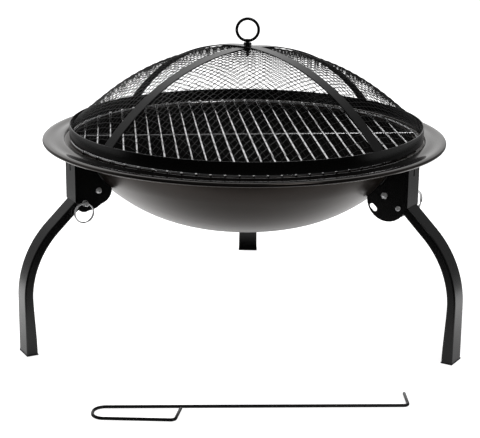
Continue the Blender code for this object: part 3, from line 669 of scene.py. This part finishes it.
def bowl_underside():
    """The bowl's underside from its axis to the inside of the lip, as (radius, height) points."""
    dish_steps = 28
    shoulder_steps = 12
    flange_steps = 18
    path = []
    for i in range(dish_steps + 1):
        r = SIDE_RADIUS * i / dish_steps
        path.append(Vector((r, BOWL_BOTTOM + SIDE_RISE * (r / SIDE_RADIUS) ** BOWL_FULLNESS)))
    ledge = LEDGE_TOP - SHEET
    steepness = math.atan(BOWL_FULLNESS * SIDE_RISE / SIDE_RADIUS)
    start, top = path[-1], Vector((WALL_TOP_RADIUS, ledge))
    chord = top - start
    reach = chord.length / 2 / math.cos(math.atan2(chord.y, chord.x) - steepness)
    knee = start + reach * Vector((math.cos(steepness), math.sin(steepness)))
    for i in range(1, shoulder_steps):
        t = i / shoulder_steps
        path.append(start * (1 - t) ** 2 + knee * 2 * t * (1 - t) + top * t * t)
    outside = SEAT_RADIUS + SHEET
    lip = RIM_RADIUS - 2 * LIP_BEAD_RADIUS - GAP
    folds = [
        (*path[-1], 0),
        (*top, BOWL_FOLD),
        (outside, ledge, BOWL_FOLD),
        (outside, RIM_HEIGHT - SHEET, BOWL_FOLD),
        (lip, RIM_HEIGHT - SHEET, 0),
    ]
    path += rounded(folds, 4)[1:-1]
    flange_start = path[-1].x
    for i in range(1, flange_steps + 1):
        share = i / flange_steps
        dip = RIM_DIP * math.sin(math.pi * share) ** 2
        path.append(Vector((flange_start + (lip - flange_start) * share, RIM_HEIGHT - SHEET - dip)))
    return path


def build_bowl(look):
    """The pan, from its underside round the lip's bead to its inside, whose own look is painted shade."""
    under = bowl_underside()
    inner = offset(under, SHEET)
    inner[0].x = 0.0
    bead = circle((RIM_RADIUS - LIP_BEAD_RADIUS, RIM_HEIGHT - LIP_DROP), LIP_BEAD_RADIUS, 150, 430, 20)
    outline = under + bead + inner[::-1]
    ledge_start = next(i for i, p in enumerate(inner) if p.x > WALL_TOP_RADIUS)
    inside = range(len(outline) - 1 - ledge_start, len(outline))
    mesh = turned(outline, LATHE_STEPS, "bowl_pan", inside=inside)
    pan = piece("bowl_pan", mesh, look["enamel"], look["inside"], place=Matrix.Translation(AXIS))
    fit(pan, "fire_bowl", "bowl_paint", "fire_bowl")


# Legs and brackets


class Station:
    """One leg's place: local X points outwards from the bowl's axis, local Y along the fold joint, Z up."""

    def __init__(self, joint):
        self.name = joint["name"].removeprefix("leg_fold_")
        side = Vector(joint["axis"]).normalized()
        out = side.cross(UP)
        turn = Matrix((out, side, UP)).transposed().to_4x4()
        self.place = Matrix.Translation(AXIS) @ turn
        self.pivot = self.place.inverted() @ Vector(joint["pos_m"])
        self.at_pivot = self.place @ Matrix.Translation(self.pivot)


def along_y(mesh):
    """Lays a piece that was turned round Z along Y instead, top end towards +Y."""
    mesh.transform(Matrix.Rotation(math.radians(-90), 4, "X"))
    return mesh


def flare(height):
    """How far the leg has widened at this height above the floor, from 0 at the top to 1 at the floor."""
    share = min(1.0, max(0.0, 1 - height / FLARE_HEIGHT))
    return share * share * (3 - 2 * share)


def leg_face(station):
    """The leg's outer face from its top end down to the foot plug, as points measured from the pivot."""
    slope = math.radians(LEG_SLOPE)
    along = Vector((math.cos(slope), -math.sin(slope)))
    out = Vector((math.sin(slope), math.cos(slope)))
    line = out * (Vector((WEB_OUT, -WEB_DOWN)).dot(out) - GAP)
    start = line + along * (PIN_ORBIT + PIN_RADIUS + 2 * GAP)
    upright = LEG_FOOT_REACH
    corner = line + along * (upright - line.x) / along.x
    turn = 90 - LEG_SLOPE
    tangent = LEG_BEND_RADIUS * math.tan(math.radians(turn / 2))
    centre = Vector((upright - LEG_BEND_RADIUS, corner.y - tangent))
    bend = circle(centre, LEG_BEND_RADIUS, turn, 0, 32)
    straight = bend[-1].y - (FOOT_PLUG_BASE + GAP - station.pivot.z)
    lower = [Vector((upright, bend[-1].y - straight * i / 20)) for i in range(1, 21)]
    upper = [start.lerp(bend[0], i / 6) for i in range(6)]
    return upper + bend + lower


def tube_section(half, depth, corner, steps):
    """A tube's outline seen along it: (inwards, sideways) points with rounded corners."""
    corners = ((corner, half - corner, 180, 90), (depth - corner, half - corner, 90, 0))
    corners += ((depth - corner, corner - half, 0, -90), (corner, corner - half, -90, -180))
    points = []
    for x, y, start, end in corners:
        points += held_circle((x, y), corner, start, end, steps)
    return points


def leg_mesh(station):
    """The leg's tube, with an outer and an inner skin that meet round its two open ends."""
    face = leg_face(station)
    bm = bmesh.new()
    loops = []
    for p, side in zip(face, side_of(face)):
        widened = flare(p.y + station.pivot.z)
        depth = LEG_DEPTH + (FOOT_DEPTH - LEG_DEPTH) * widened
        half = (LEG_WIDTH + (FOOT_WIDTH - LEG_WIDTH) * widened) / 2
        skins = []
        for wall, corner in ((0.0, LEG_CORNER), (LEG_WALL, LEG_CORNER / 3)):
            ring = []
            for spot in tube_section(half - wall, depth - 2 * wall, corner, 4):
                down = p - side * (spot.x + wall)
                ring.append(bm.verts.new((down.x, spot.y, down.y)))
            skins.append(ring)
        loops.append(skins)
    for first, second in zip(loops, loops[1:]):
        bridge(bm, first[0], second[0])
        bridge(bm, first[1], second[1])
    for outer, inner in (loops[0], loops[-1]):
        bridge(bm, outer, inner)
    return finished(bm, "leg")


def hexagon(angle):
    """How far a hexagon's side reaches at an angle, next to its corners."""
    return math.cos(math.pi / 6) / math.cos(angle % (math.pi / 3) - math.pi / 6)


def nut_mesh(bore, corner, low, high):
    """A hexagonal nut with chamfered corners."""
    flat = corner * math.cos(math.pi / 6)
    face = flat * 0.97
    chamfer = (corner - flat) * 0.9
    cone = 1.7
    outline = [(bore, low), (face, low)]
    outline += [(corner, low + chamfer * i / 4) for i in range(5)]
    outline += [(corner, high - chamfer * (4 - i) / 4) for i in range(5)]
    outline += [(face, high), (bore, high)]

    def shape(i, radius, angle):
        if radius < corner:
            return radius
        depth = min(outline[i][1] - low, high - outline[i][1])
        return min(corner * hexagon(angle), face + depth * cone)

    return turned(outline, 60, "nut", shape)


def screw_thread(radius, low, high, name):
    """A threaded end: one crest and one root line wound round each other from low to high."""
    steps = 20
    turns = (high - low) / THREAD_PITCH
    count = int(turns * steps)
    root = radius - THREAD_PITCH * 0.5
    bm = bmesh.new()
    lines = []
    for reach, rise in ((radius, 0.0), (root, 0.5)):
        line = []
        for i in range(count):
            angle = 2 * math.pi * i / steps
            height = min(high, low + THREAD_PITCH * (i / steps + rise))
            line.append(bm.verts.new((reach * math.cos(angle), reach * math.sin(angle), height)))
        lines.append(line)
    crest, valley = lines
    for i in range(count - 1):
        bm.faces.new((crest[i], crest[i + 1], valley[i + 1], valley[i]))
        if i + 1 + steps < count:
            bm.faces.new((valley[i], valley[i + 1], crest[i + 1 + steps], crest[i + steps]))
    for line in (crest[: steps + 1], (valley[-1], *crest[-steps:])):
        middle = bm.verts.new((0, 0, sum(v.co.z for v in line) / len(line)))
        for a, b in zip(line, line[1:]):
            bm.faces.new((middle, a, b))
    return finished(bm, name)


def build_pivot(station, look):
    """The button-head bolt with its hexagonal socket, and the nut on the other cheek."""
    face = BRACKET_HALF + GAP
    low = -(face + NUT_HEIGHT + BOLT_TIP)
    top = face + BOLT_HEAD_HEIGHT
    ball = (BOLT_HEAD_RADIUS**2 + BOLT_DOME_HEIGHT**2) / (2 * BOLT_DOME_HEIGHT)
    reach = math.degrees(math.asin(BOLT_HEAD_RADIUS / ball))
    mouth = SOCKET_RADIUS * 1.1
    dome = [tuple(p) for p in circle((0, top - ball), ball, 90 - reach, 90, 12) if p.x > mouth]
    head = [(BOLT_HEAD_RADIUS * 0.96, face), (BOLT_HEAD_RADIUS, face + 0.0002)] + dome
    well = [
        (SOCKET_RADIUS, top - 0.0001),
        (SOCKET_RADIUS * 0.98, top - SOCKET_DEPTH * 0.8),
        (0, top - SOCKET_DEPTH),
    ]
    shank = [(0, low), (BOLT_RADIUS * 0.8, low), (BOLT_RADIUS, low + 0.0004), (BOLT_RADIUS, face)]
    outline = shank + head + well
    hexed = range(len(outline) - 3, len(outline) - 1)
    mesh = turned(outline, 60, "bolt", lambda i, r, a: r * 1.1 * hexagon(a) if i in hexed else r)
    bolt = piece("bolt_" + station.name, along_y(mesh), look["zinc"], place=station.at_pivot)
    fit(bolt, "fire_bowl", "zinc_steel", "pivot_bolt_" + station.name)
    mesh = along_y(nut_mesh(BOLT_RADIUS + 0.0001, NUT_RADIUS, -face - NUT_HEIGHT, -face))
    nut = piece("nut_" + station.name, mesh, look["zinc"], place=station.at_pivot)
    fit(nut, "fire_bowl", "zinc_steel", "pivot_nut_" + station.name)


def bowl_height_at(radius):
    """The height of the bowl's underside at a radius."""
    under = bowl_underside()
    for a, b in zip(under, under[1:]):
        if a.x <= radius <= b.x and b.x > a.x:
            return a.y + (b.y - a.y) * (radius - a.x) / (b.x - a.x)
    return under[-1].y


def build_welds(station, look):
    """A run of weld along each cheek, where it meets the bowl's wall."""
    first = SIDE_RADIUS + 0.004
    last = WALL_TOP_RADIUS + 0.0075
    steps = 24
    runs = []
    for side in (-1, 1):
        y = side * (BRACKET_HALF - 0.001)
        route = []
        for i in range(steps + 1):
            x = first + (last - first) * i / steps
            route.append((x, y, bowl_height_at(math.hypot(x, y)) - WELD_SINK))
        runs.append(wire("weld", route, WELD_RADIUS, round_ends=True))
    weld = piece("weld_" + station.name, merged("weld", *runs), look["powder"], place=station.place)
    fit(weld, "fire_bowl", "black_paint")


def build_leg(station, look):
    """The leg's tube, with softened copies of its knuckle, its foot plug and its bracket."""
    name = station.name
    leg = piece("tube_" + name, leg_mesh(station), look["powder"], place=station.at_pivot)
    fit(leg, "leg_" + name, "black_paint", "leg_" + name)
    knuckle = softened("knuckle_" + name, "hinge_plate_" + name, look["powder"])
    fit(knuckle, "leg_" + name, "black_paint", "knuckle_" + name)
    foot = softened("foot_plug_" + name, "foot_cap_" + name, look["plastic"], width=0.0005)
    fit(foot, "leg_" + name, "black_plastic", "foot_plug_" + name)
    bracket = softened("bracket_" + name, "bracket_plate_" + name, look["powder"], width=0.0003)
    fit(bracket, "fire_bowl", "black_paint", "bracket_" + name)


# Lock pins


def pin_frame(name):
    """A lock pin's place: origin mid-bracket, local Y along its slide, local X along its ring's hinge."""
    slide = joint_named("lock_pin_pull_" + name)
    swing = joint_named("split_ring_swing_" + name)
    side = Vector(slide["axis"]).normalized()
    across = Vector(swing["axis"]).normalized()
    turn = Matrix((across, side, across.cross(side))).transposed().to_4x4()
    reach = BRACKET_HALF + GAP + PIN_COLLAR + PIN_EYE
    return Matrix.Translation(Vector(swing["pos_m"]) - side * reach) @ turn, reach


def build_pin(name, look):
    """The lock pin, with its collar and drilled head, and the split ring in it."""
    place, reach = pin_frame(name)
    tip, face = -(BRACKET_HALF + PIN_TIP), BRACKET_HALF + GAP
    rim = face + PIN_COLLAR
    end = rim + PIN_HEAD_LENGTH
    soft = 0.0003
    core = PIN_RADIUS - PIN_CHAMFER
    outline = [(0, tip)]
    outline += [tuple(p) for p in circle((core, tip + PIN_CHAMFER), PIN_CHAMFER, -90, 0, 6)]
    outline += [
        (PIN_RADIUS, face),
        (PIN_COLLAR_RADIUS - soft, face),
        (PIN_COLLAR_RADIUS, face + soft),
        (PIN_COLLAR_RADIUS, rim - soft),
        (PIN_COLLAR_RADIUS - soft, rim),
        (PIN_RADIUS, rim),
    ]
    outline += [tuple(p) for p in circle((core, end - PIN_CHAMFER), PIN_CHAMFER, 0, 90, 6)]
    outline += [(0, end)]
    body = added("pin_blank", along_y(turned(outline, 40, "pin")))
    ends = [(side * 2 * PIN_RADIUS, reach, 0) for side in (-1, 1)]
    hole = added("pin_hole", wire("hole", ends, PIN_HOLE_RADIUS))
    cut = body.modifiers.new("Hole", "BOOLEAN")
    cut.object = hole
    cut.solver = "EXACT"
    pin = piece("pin_" + name, baked(body), look["zinc"], place=place)
    bpy.data.objects.remove(hole, do_unlink=True)
    fit(pin, "lock_pin_" + name, "zinc_steel", "lock_pin_" + name)
    build_split_ring(name, look)


def ring_frame(name):
    """A split ring's place: origin at its middle, local X along its hinge, local Z towards the pin's eye."""
    swing = joint_named("split_ring_swing_" + name)
    low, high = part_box("split_ring_" + name)
    middle = (low + high) / 2
    across = Vector(swing["axis"]).normalized()
    eye = Vector(swing["pos_m"]) - middle
    rise = (eye - across * eye.dot(across)).normalized()
    return Matrix.Translation(middle) @ Matrix((across, rise.cross(across), rise)).transposed().to_4x4()


def build_split_ring(name, look):
    """Two turns of spring wire side by side, with the step where they cross."""
    line = RING_RADIUS - RING_STRAND_RADIUS
    steps = 96
    cross_from = 0.46
    cross_over = 0.08
    route = []
    for i in range(steps + 1):
        share = i / steps
        spot = line * heading(RING_START + RING_WOUND * share)
        over = min(1.0, max(0.0, (share - cross_from) / cross_over))
        level = RING_STRAND_SHIFT * (2 * over * over * (3 - 2 * over) - 1)
        route.append((spot.x, level, spot.y))
    mesh = wire("ring", route, RING_STRAND_RADIUS, round_ends=True)
    ring = piece("ring_" + name, mesh, look["zinc"], place=ring_frame(name))
    fit(ring, "split_ring_" + name, "zinc_steel", "split_ring_" + name)


# Wire work by Geometry Nodes


def hoop(tree, radius, points):
    """A circle, as a curve of so many points."""
    return tree.node("GeometryNodeCurvePrimitiveCircle", inputs={"Resolution": points, "Radius": radius})


def line_between(tree, start, end):
    """A straight curve."""
    return tree.node("GeometryNodeCurvePrimitiveLine", inputs={"Start": start, "End": end})


def row(tree, count, start, step):
    """So many points, each a step from the one before."""
    inputs = {"Count": count, "Start Location": start, "Offset": step}
    return tree.node("GeometryNodeMeshLine", inputs=inputs)


def copies(tree, points, shape, scale=(1.0, 1.0, 1.0)):
    """A copy of the shape on each point."""
    inputs = {"Points": points, "Instance": shape, "Scale": scale}
    return tree.node("GeometryNodeInstanceOnPoints", inputs=inputs)


def tube(tree, line, radius, sides):
    """A curve given a round section, with its ends closed."""
    inputs = {"Curve": line, "Profile Curve": hoop(tree, radius, sides), "Fill Caps": True}
    return tree.node("GeometryNodeCurveToMesh", inputs=inputs)


def lifted(tree, shape, height):
    """A shape moved up."""
    inputs = {"Geometry": shape, "Translation": tree.vector(0.0, 0.0, height)}
    return tree.node("GeometryNodeTransform", inputs=inputs)


# Grate


def grate_plan(tree, size):
    """The ring, the cross wire inside it, the bars over both, and a small weld where each bar crosses it."""
    reach = size["Ring radius"]
    ring = tube(tree, hoop(tree, reach, 220), size["Ring wire"] / 2, 14)
    ring = lifted(tree, ring, size["Ring height"])
    first = size["Shift"] - size["Pitch"] * (size["Bars"] - 1) / 2
    spots = row(tree, size["Bars"], tree.vector(first), tree.vector(size["Pitch"]))
    x, _, _ = tree.axes(tree.node("GeometryNodeInputPosition"))
    half = (size["Bar reach"] * size["Bar reach"] - x * x) ** 0.5
    lines = copies(tree, spots, line_between(tree, (0, -1, 0), (0, 1, 0)), tree.vector(1.0, half, 1.0))
    lines = tree.node("GeometryNodeRealizeInstances", inputs={"Geometry": lines})
    bars = lifted(tree, tube(tree, lines, size["Bar wire"] / 2, 12), size["Bar height"])
    cross_line = line_between(tree, tree.vector(0 - reach), tree.vector(reach))
    cross = lifted(tree, tube(tree, cross_line, size["Cross wire"] / 2, 12), size["Ring height"])
    ball = tree.node("GeometryNodeMeshIcoSphere", inputs={"Radius": size["Weld radius"], "Subdivisions": 3})
    welds = lifted(tree, copies(tree, spots, ball), (size["Bar height"] + size["Ring height"]) / 2)
    return tree.joined(ring, bars, cross, welds)


def build_grate(look):
    sizes = {
        "Ring radius": GRATE_RING_RADIUS,
        "Ring wire": GRATE_RING_WIRE,
        "Ring height": GRATE_RING_HEIGHT,
        "Bars": GRATE_BARS,
        "Pitch": GRATE_PITCH,
        "Shift": GRATE_PATTERN_SHIFT,
        "Bar reach": GRATE_BAR_REACH,
        "Bar wire": GRATE_BAR_WIRE,
        "Bar height": GRATE_BAR_HEIGHT,
        "Cross wire": GRATE_CROSS_WIRE,
        "Weld radius": GRATE_WELD_RADIUS,
    }
    place = Matrix.Translation(AXIS) @ Matrix.Rotation(math.radians(GRATE_TURN), 4, "Z")
    grate = grown("grate_wires", grate_plan, sizes, look["chrome"], place)
    fit(grate, "cooking_grate", "chrome_wire", "cooking_grate")


# Spark guard


def ball_under(top):
    """The radius of the ball with its top at this height that meets the band's top where the straps do."""
    rise = top - BAND_TOP
    return (STRAP_FOOT_RADIUS**2 + rise**2) / (2 * rise)


def screen_plan(tree, size):
    """Wires woven over and under each other both ways, laid over the dome and tucked down inside the band."""
    count = size["Wires"]
    pitch = size["Pitch"]
    first = pitch * (count - 1) / -2
    along = row(tree, count, tree.vector(first), tree.vector(pitch))
    across = row(tree, count, tree.vector(0.0, first), tree.vector(0.0, pitch))
    lines = tree.node("GeometryNodeRealizeInstances", inputs={"Geometry": copies(tree, across, along)})
    return tree.joined(*(draped(tree, lines, size, way) for way in (1, -1)))


def draped(tree, lines, size, way):
    """One layer of parallel wires, moved from the plane onto the dome.

    They hang between the straps, most of all near the band, are tucked down inside it, and stand a little
    higher under the upper strap.
    """
    a, b, _ = tree.axes(tree.node("GeometryNodeInputPosition"))
    edge = size["Edge radius"]
    half = (edge * edge - b * b).maths("MAXIMUM", 0.0) ** 0.5
    past = (a.maths("ABSOLUTE") - half).maths("MAXIMUM", 0.0)
    cut = {"Geometry": lines, "Selection": past.maths("GREATER_THAN", size["Tuck"])}
    lines = tree.node("GeometryNodeDeleteGeometry", {"domain": "POINT"}, cut)
    weave = ((a + b) * math.pi / size["Pitch"]).maths("COSINE") * size["Wire radius"] * way
    u = a.maths("MINIMUM", half).maths("MAXIMUM", 0 - half)
    turn = math.radians(45 * way)
    x = u * math.cos(turn) - b * math.sin(turn)
    y = u * math.sin(turn) + b * math.cos(turn)
    flat = x * x + y * y
    share = flat ** 0.5 / edge
    above_zero = flat + 1e-9
    lobe = (x * x - y * y) / above_zero
    power = MESH_SAG_POWER
    peak = (power / (power + 1)) ** power / (power + 1)
    slack = (1 - share) * share ** float(power) * size["Sag"] * (1 / peak)
    ball = size["Ball radius"]
    beside = (1 - x * y * 2 / above_zero) * 0.5
    rises, risen, falls, fallen = MESH_LIFT_SHARES
    lift = beside * beside * share.smooth(rises, risen) * (1 - share.smooth(falls, fallen)) * size["Lift"]
    height = size["Ball centre"] + (ball * ball - flat) ** 0.5 - lobe * lobe * slack - past + weave + lift
    place = {"Geometry": lines, "Position": tree.vector(x, y, height)}
    moved = tree.node("GeometryNodeSetPosition", inputs=place)
    curves = tree.node("GeometryNodeMeshToCurve", inputs={"Mesh": moved})
    return tube(tree, curves, size["Wire radius"], 4)


def build_screen(look):
    ball = ball_under(CROWN + STRAP_SHEET)
    edge = STRAP_FOOT_RADIUS - MESH_DROP
    sizes = {
        "Wires": int(2 * edge / MESH_PITCH),
        "Pitch": MESH_PITCH,
        "Wire radius": MESH_WIRE_RADIUS,
        "Edge radius": edge,
        "Tuck": MESH_TUCK,
        "Lift": STRAP_LIFT,
        "Sag": MESH_SAG,
        "Ball radius": ball - MESH_DROP,
        "Ball centre": CROWN + STRAP_SHEET - ball,
    }
    screen = grown("screen_mesh", screen_plan, sizes, look["screen"], Matrix.Translation(GUARD_AXIS))
    fit(screen, "spark_guard", "black_wire", "guard_screen")


def build_band(look):
    """The hoop round the guard's foot, with rounded edges."""
    low, high = BAND_LOW.z, BAND_TOP
    inner = BAND_RADIUS - BAND_SHEET
    soft = BAND_SHEET * 0.2
    outline = circle((BAND_RADIUS - soft, low + soft), soft, -90, 0, 4)
    outline += [(BAND_RADIUS, low + 2 * soft), (BAND_RADIUS, high - 2 * soft)]
    outline += circle((BAND_RADIUS - soft, high - soft), soft, 0, 90, 4)
    outline += circle((inner + soft, high - soft), soft, 90, 180, 4)
    outline += [(inner, high - 2 * soft), (inner, low + 2 * soft)]
    outline += circle((inner + soft, low + soft), soft, 180, 270, 4)
    mesh = turned(outline, LATHE_STEPS, "band")
    band = piece("band_hoop", mesh, look["powder"], place=Matrix.Translation(GUARD_AXIS))
    fit(band, "spark_guard", "black_paint", "guard_band")


def build_strap(node, look, lift, turn):
    """A flat strap over the dome, bent down inside the band at both ends."""
    top = CROWN + lift + STRAP_SHEET
    ball = ball_under(top)
    reach = math.degrees(math.asin(STRAP_FOOT_RADIUS / ball))
    arc = circle((0, top - ball), ball, 90 + reach, 90 - reach, 96)
    low = BAND_TOP - STRAP_TAIL
    path = [Vector((-STRAP_FOOT_RADIUS, low))] + arc + [Vector((STRAP_FOOT_RADIUS, low))]
    bm = bmesh.new()
    rings = []
    soft = STRAP_SHEET * 0.3
    for p, side in zip(path, side_of(path)):
        ring = []
        for spot in tube_section(STRAP_WIDTH / 2, STRAP_SHEET, soft, 3):
            at = p - side * spot.x
            ring.append(bm.verts.new((at.x, spot.y, at.y)))
        rings.append(ring)
    for first, second in zip(rings, rings[1:]):
        bridge(bm, first, second)
    bm.faces.new(rings[0])
    bm.faces.new(rings[-1][::-1])
    place = Matrix.Translation(GUARD_AXIS) @ Matrix.Rotation(math.radians(turn), 4, "Z")
    strap = piece(node.replace("guard_", ""), finished(bm, node), look["powder"], place=place)
    fit(strap, "spark_guard", "black_paint", node)


def build_handle(look):
    """The ring handle: one wire bent round an eye, its ends meeting over the nut, on a threaded shank."""
    place = Matrix.Translation(GUARD_AXIS)
    low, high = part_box("guard_handle")
    centre = high.z - EYE_RADIUS
    spots = circle((0, centre), EYE_RADIUS - EYE_WIRE_RADIUS, 0, 360, 72)[:-1]
    eye = wire("eye", [(p.x, 0, p.y) for p in spots], EYE_WIRE_RADIUS, closed=True, sides=20)
    nut_top = centre - EYE_RADIUS
    flanks = [
        (SHANK_RADIUS, nut_top, 0),
        (NECK_WAIST_RADIUS, nut_top + NECK_ROOT, NECK_ROOT),
        (NECK_MOUTH_RADIUS, nut_top + NECK_HEIGHT, 0),
    ]
    outline = [(0, nut_top - NECK_ROOT), (SHANK_RADIUS, nut_top - NECK_ROOT)]
    outline += [tuple(p) for p in rounded(flanks, 4)]
    outline += [(0, nut_top + NECK_HEIGHT - 0.0006)]
    neck = turned(outline, 24, "neck")
    shank = screw_thread(SHANK_RADIUS, low.z, nut_top - NECK_ROOT / 2, "shank")
    handle = piece("ring_handle", merged("ring_handle", eye, neck, shank), look["wire"], place=place)
    fit(handle, "spark_guard", "black_paint", "guard_handle")
    for node, corner in (("guard_crown_nut", CROWN_NUT_RADIUS), ("guard_lock_nut", LOCK_NUT_RADIUS)):
        low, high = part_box(node)
        mesh = nut_mesh(SHANK_RADIUS, corner, low.z, high.z)
        nut = piece(node.replace("guard_", ""), mesh, look["wire"], place=place)
        fit(nut, "spark_guard", "black_paint", node)


def build_guard(look):
    build_band(look)
    build_strap("guard_strap_lower", look, lift=0.0, turn=45)
    build_strap("guard_strap_upper", look, lift=STRAP_LIFT, turn=135)
    build_screen(look)
    build_handle(look)


# Poker


def build_poker(look):
    """The poker from its loop's left end: the loop folded back on the rod, and the hook square to it."""
    r = POKER_WIRE_RADIUS
    end = POKER_LENGTH - r
    corners = [
        (POKER_LOOP_LENGTH, -2 * r - GAP, 0),
        (POKER_LOOP_LENGTH - POKER_LOOP_LEAN, -POKER_LOOP_FAR, POKER_BEND),
        (r, -POKER_LOOP_NEAR, POKER_NOSE_BEND),
        (r, 0, POKER_NOSE_BEND),
        (end, 0, POKER_BEND),
        (end, POKER_HOOK - r, 0),
    ]
    low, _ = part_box("poker")
    route = [(p.x, p.y, 0) for p in rounded(corners, 14)]
    mesh = wire("poker", route, r, sides=20, round_ends=True)
    turn = Matrix.Rotation(math.radians(POKER_TURN), 4, "Z")
    mesh.transform(turn)
    lowest = Vector([min(v.co[i] for v in mesh.vertices) for i in range(3)])
    rod = piece("poker_rod", mesh, look["wire"], place=Matrix.Translation(low - lowest))
    fit(rod, "poker", "black_paint", "poker")


# Fitting to the frame


def joint_named(name):
    return next(joint for joint in frame["joints"] if joint["name"] == name)


def fit(obj, body, slot, *nodes):
    """The piece rides on its body and stands for CAD nodes, which are hidden; slot is not used."""
    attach(obj, body)
    if nodes:
        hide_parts(*nodes)


# Stage, camera and light


def floor_shader(tree, where):
    """White to the camera, keeping the object's shadow.

    Reflections see the set: dark in front of the object, with a painted shadow round its rear foot
    and a painted pool of light between that fades outwards and glows behind the object.
    """
    camera_ray = tree.node("ShaderNodeLightPath")
    glossy_ray = camera_ray.part("Is Glossy Ray")
    x, y, _ = tree.axes(where)
    # A painted shadow round the rear foot, and a painted pool of light that glows behind the object
    behind = y - FLOOR_PAINTED_SHADOW_Y
    pool = 1 - (x * x + y * y).smooth(*FLOOR_PAINTED_POOL_FADE)
    mirrored = glossy_ray * (x * x + behind * behind).smooth(*FLOOR_PAINTED_SHADOW_FADE)
    painted_back_glow = mirrored * y.smooth(*FLOOR_BACK_FADE) * pool * FLOOR_PAINTED_BACK_GLOW
    glow = tree.node("ShaderNodeEmission", inputs={"Strength": camera_ray * FLOOR_GLOW + painted_back_glow})
    brightness = pool * FLOOR_PAINTED_POOL_CLOTH + FLOOR_FAR_CLOTH
    shade = (1 - glossy_ray) * FLOOR_CLOTH + mirrored * y.smooth(*FLOOR_FRONT_FADE) * brightness
    cloth = tree.node("ShaderNodeBsdfDiffuse", inputs={"Color": tree.vector(shade, shade, shade)})
    return tree.node("ShaderNodeAddShader", inputs={0: glow, 1: cloth})


def build_stage():
    """The floor, one flat sheet that reaches past the camera."""
    bm = bmesh.new()
    bmesh.ops.create_grid(bm, x_segments=1, y_segments=1, size=FLOOR_HALF)
    mesh = bpy.data.meshes.new("studio_floor")
    bm.to_mesh(mesh)
    bm.free()
    made = bpy.data.materials.new("white_floor")
    tree = emptied(made)
    surface = floor_shader(tree, tree.node("ShaderNodeTexCoord").part("Object"))
    tree.node("ShaderNodeOutputMaterial", inputs={"Surface": surface})
    mesh.materials.append(made)
    ground = added("studio_floor", mesh)


def build_world():
    """White all round. Reflections see a white sweep behind the object that fades up and to both sides."""
    world = bpy.data.worlds.new("studio")
    tree = emptied(world)
    camera_ray = tree.node("ShaderNodeLightPath")
    glossy_ray = camera_ray.part("Is Glossy Ray")
    x, y, z = tree.axes(tree.node("ShaderNodeTexCoord").part("Generated"))
    sweep = y.smooth(*BACKDROP_FRONT_FADE) * (1 - z.smooth(*BACKDROP_TOP_FADE))
    for side, fade, loss in BACKDROP_SIDE_FADES:
        sweep = sweep * (1 - (x * side).smooth(*fade) * loss)
    seen = camera_ray.maths("MAXIMUM", glossy_ray).maths("MAXIMUM", camera_ray.part("Is Transmission Ray"))
    plain = seen * (1 - BACKDROP_DIFFUSE) + BACKDROP_DIFFUSE
    strength = plain * (1 - glossy_ray * (1 - sweep) * BACKDROP_DARK)
    white = tree.node("ShaderNodeBackground", inputs={"Color": (1, 1, 1, 1), "Strength": strength})
    tree.node("ShaderNodeOutputWorld", inputs={"Surface": white})
    bpy.context.scene.world = world


def build_light(name, place, size, power, mirrored=True):
    """A soft box over the object, which reflections see only where it is mirrored."""
    lamp = bpy.data.lights.new(name, "AREA")
    lamp.shape = "RECTANGLE"
    lamp.size, lamp.size_y = size
    lamp.energy = power
    obj = added(name, lamp)
    obj.location = place
    obj.visible_glossy = mirrored
    obj.rotation_euler = (LAMP_AIM - Vector(place)).to_track_quat("-Z", "Y").to_euler()


def build_camera():
    camera = added("camera", bpy.data.cameras.new("camera"))
    camera.data.lens = CAMERA_LENS
    camera.data.sensor_width = CAMERA_SENSOR
    camera.location = CAMERA_PLACE
    look = (CAMERA_AIM - CAMERA_PLACE).to_track_quat("-Z", "Y").to_matrix()
    camera.rotation_euler = (look @ Matrix.Rotation(math.radians(CAMERA_ROLL), 3, "Z")).to_euler()
    bpy.context.scene.camera = camera


def write_sizes():
    import json


def main():
    look = {
        "enamel": finish("bowl_enamel", bowl_enamel, Specular_Tint=(1.0, 0.88, 0.80, 1.0)),
        # The inside is darker and less glossy than the enamel outside: painted shade.
        "inside": finish("bowl_inside_painted_shade", bowl_inside_painted_shade, Specular_IOR_Level=0.12),
        "powder": finish("black_powder_coat", powder_coat),
        "wire": finish("black_dip_paint", wire_paint, Specular_IOR_Level=0.3),
        "screen": finish("blackened_wire", screen_oxide),
        "chrome": finish("bright_chrome", chrome, Metallic=1.0),
        "zinc": finish("bright_zinc", zinc, Metallic=0.7),
        "plastic": finish("black_plastic", moulded_plastic),
    }
    build_camera()
    build_stage()
    build_world()
    build_light("key_lamp", place=(-1.0, 0.8, 2.1), size=(1.2, 1.7), power=26, mirrored=False)
    build_light("front_lamp", place=(0.8, -0.9, 2.1), size=(0.6, 1.0), power=8)
    build_bowl(look)
    for joint in frame["joints"]:
        if joint["name"].startswith("leg_fold_"):
            station = Station(joint)
            build_leg(station, look)
            build_pivot(station, look)
            build_welds(station, look)
            build_pin(station.name, look)
    build_grate(look)
    build_guard(look)
    build_poker(look)
    bpy.context.scene.view_settings.view_transform = "Standard"
    write_sizes()


main()
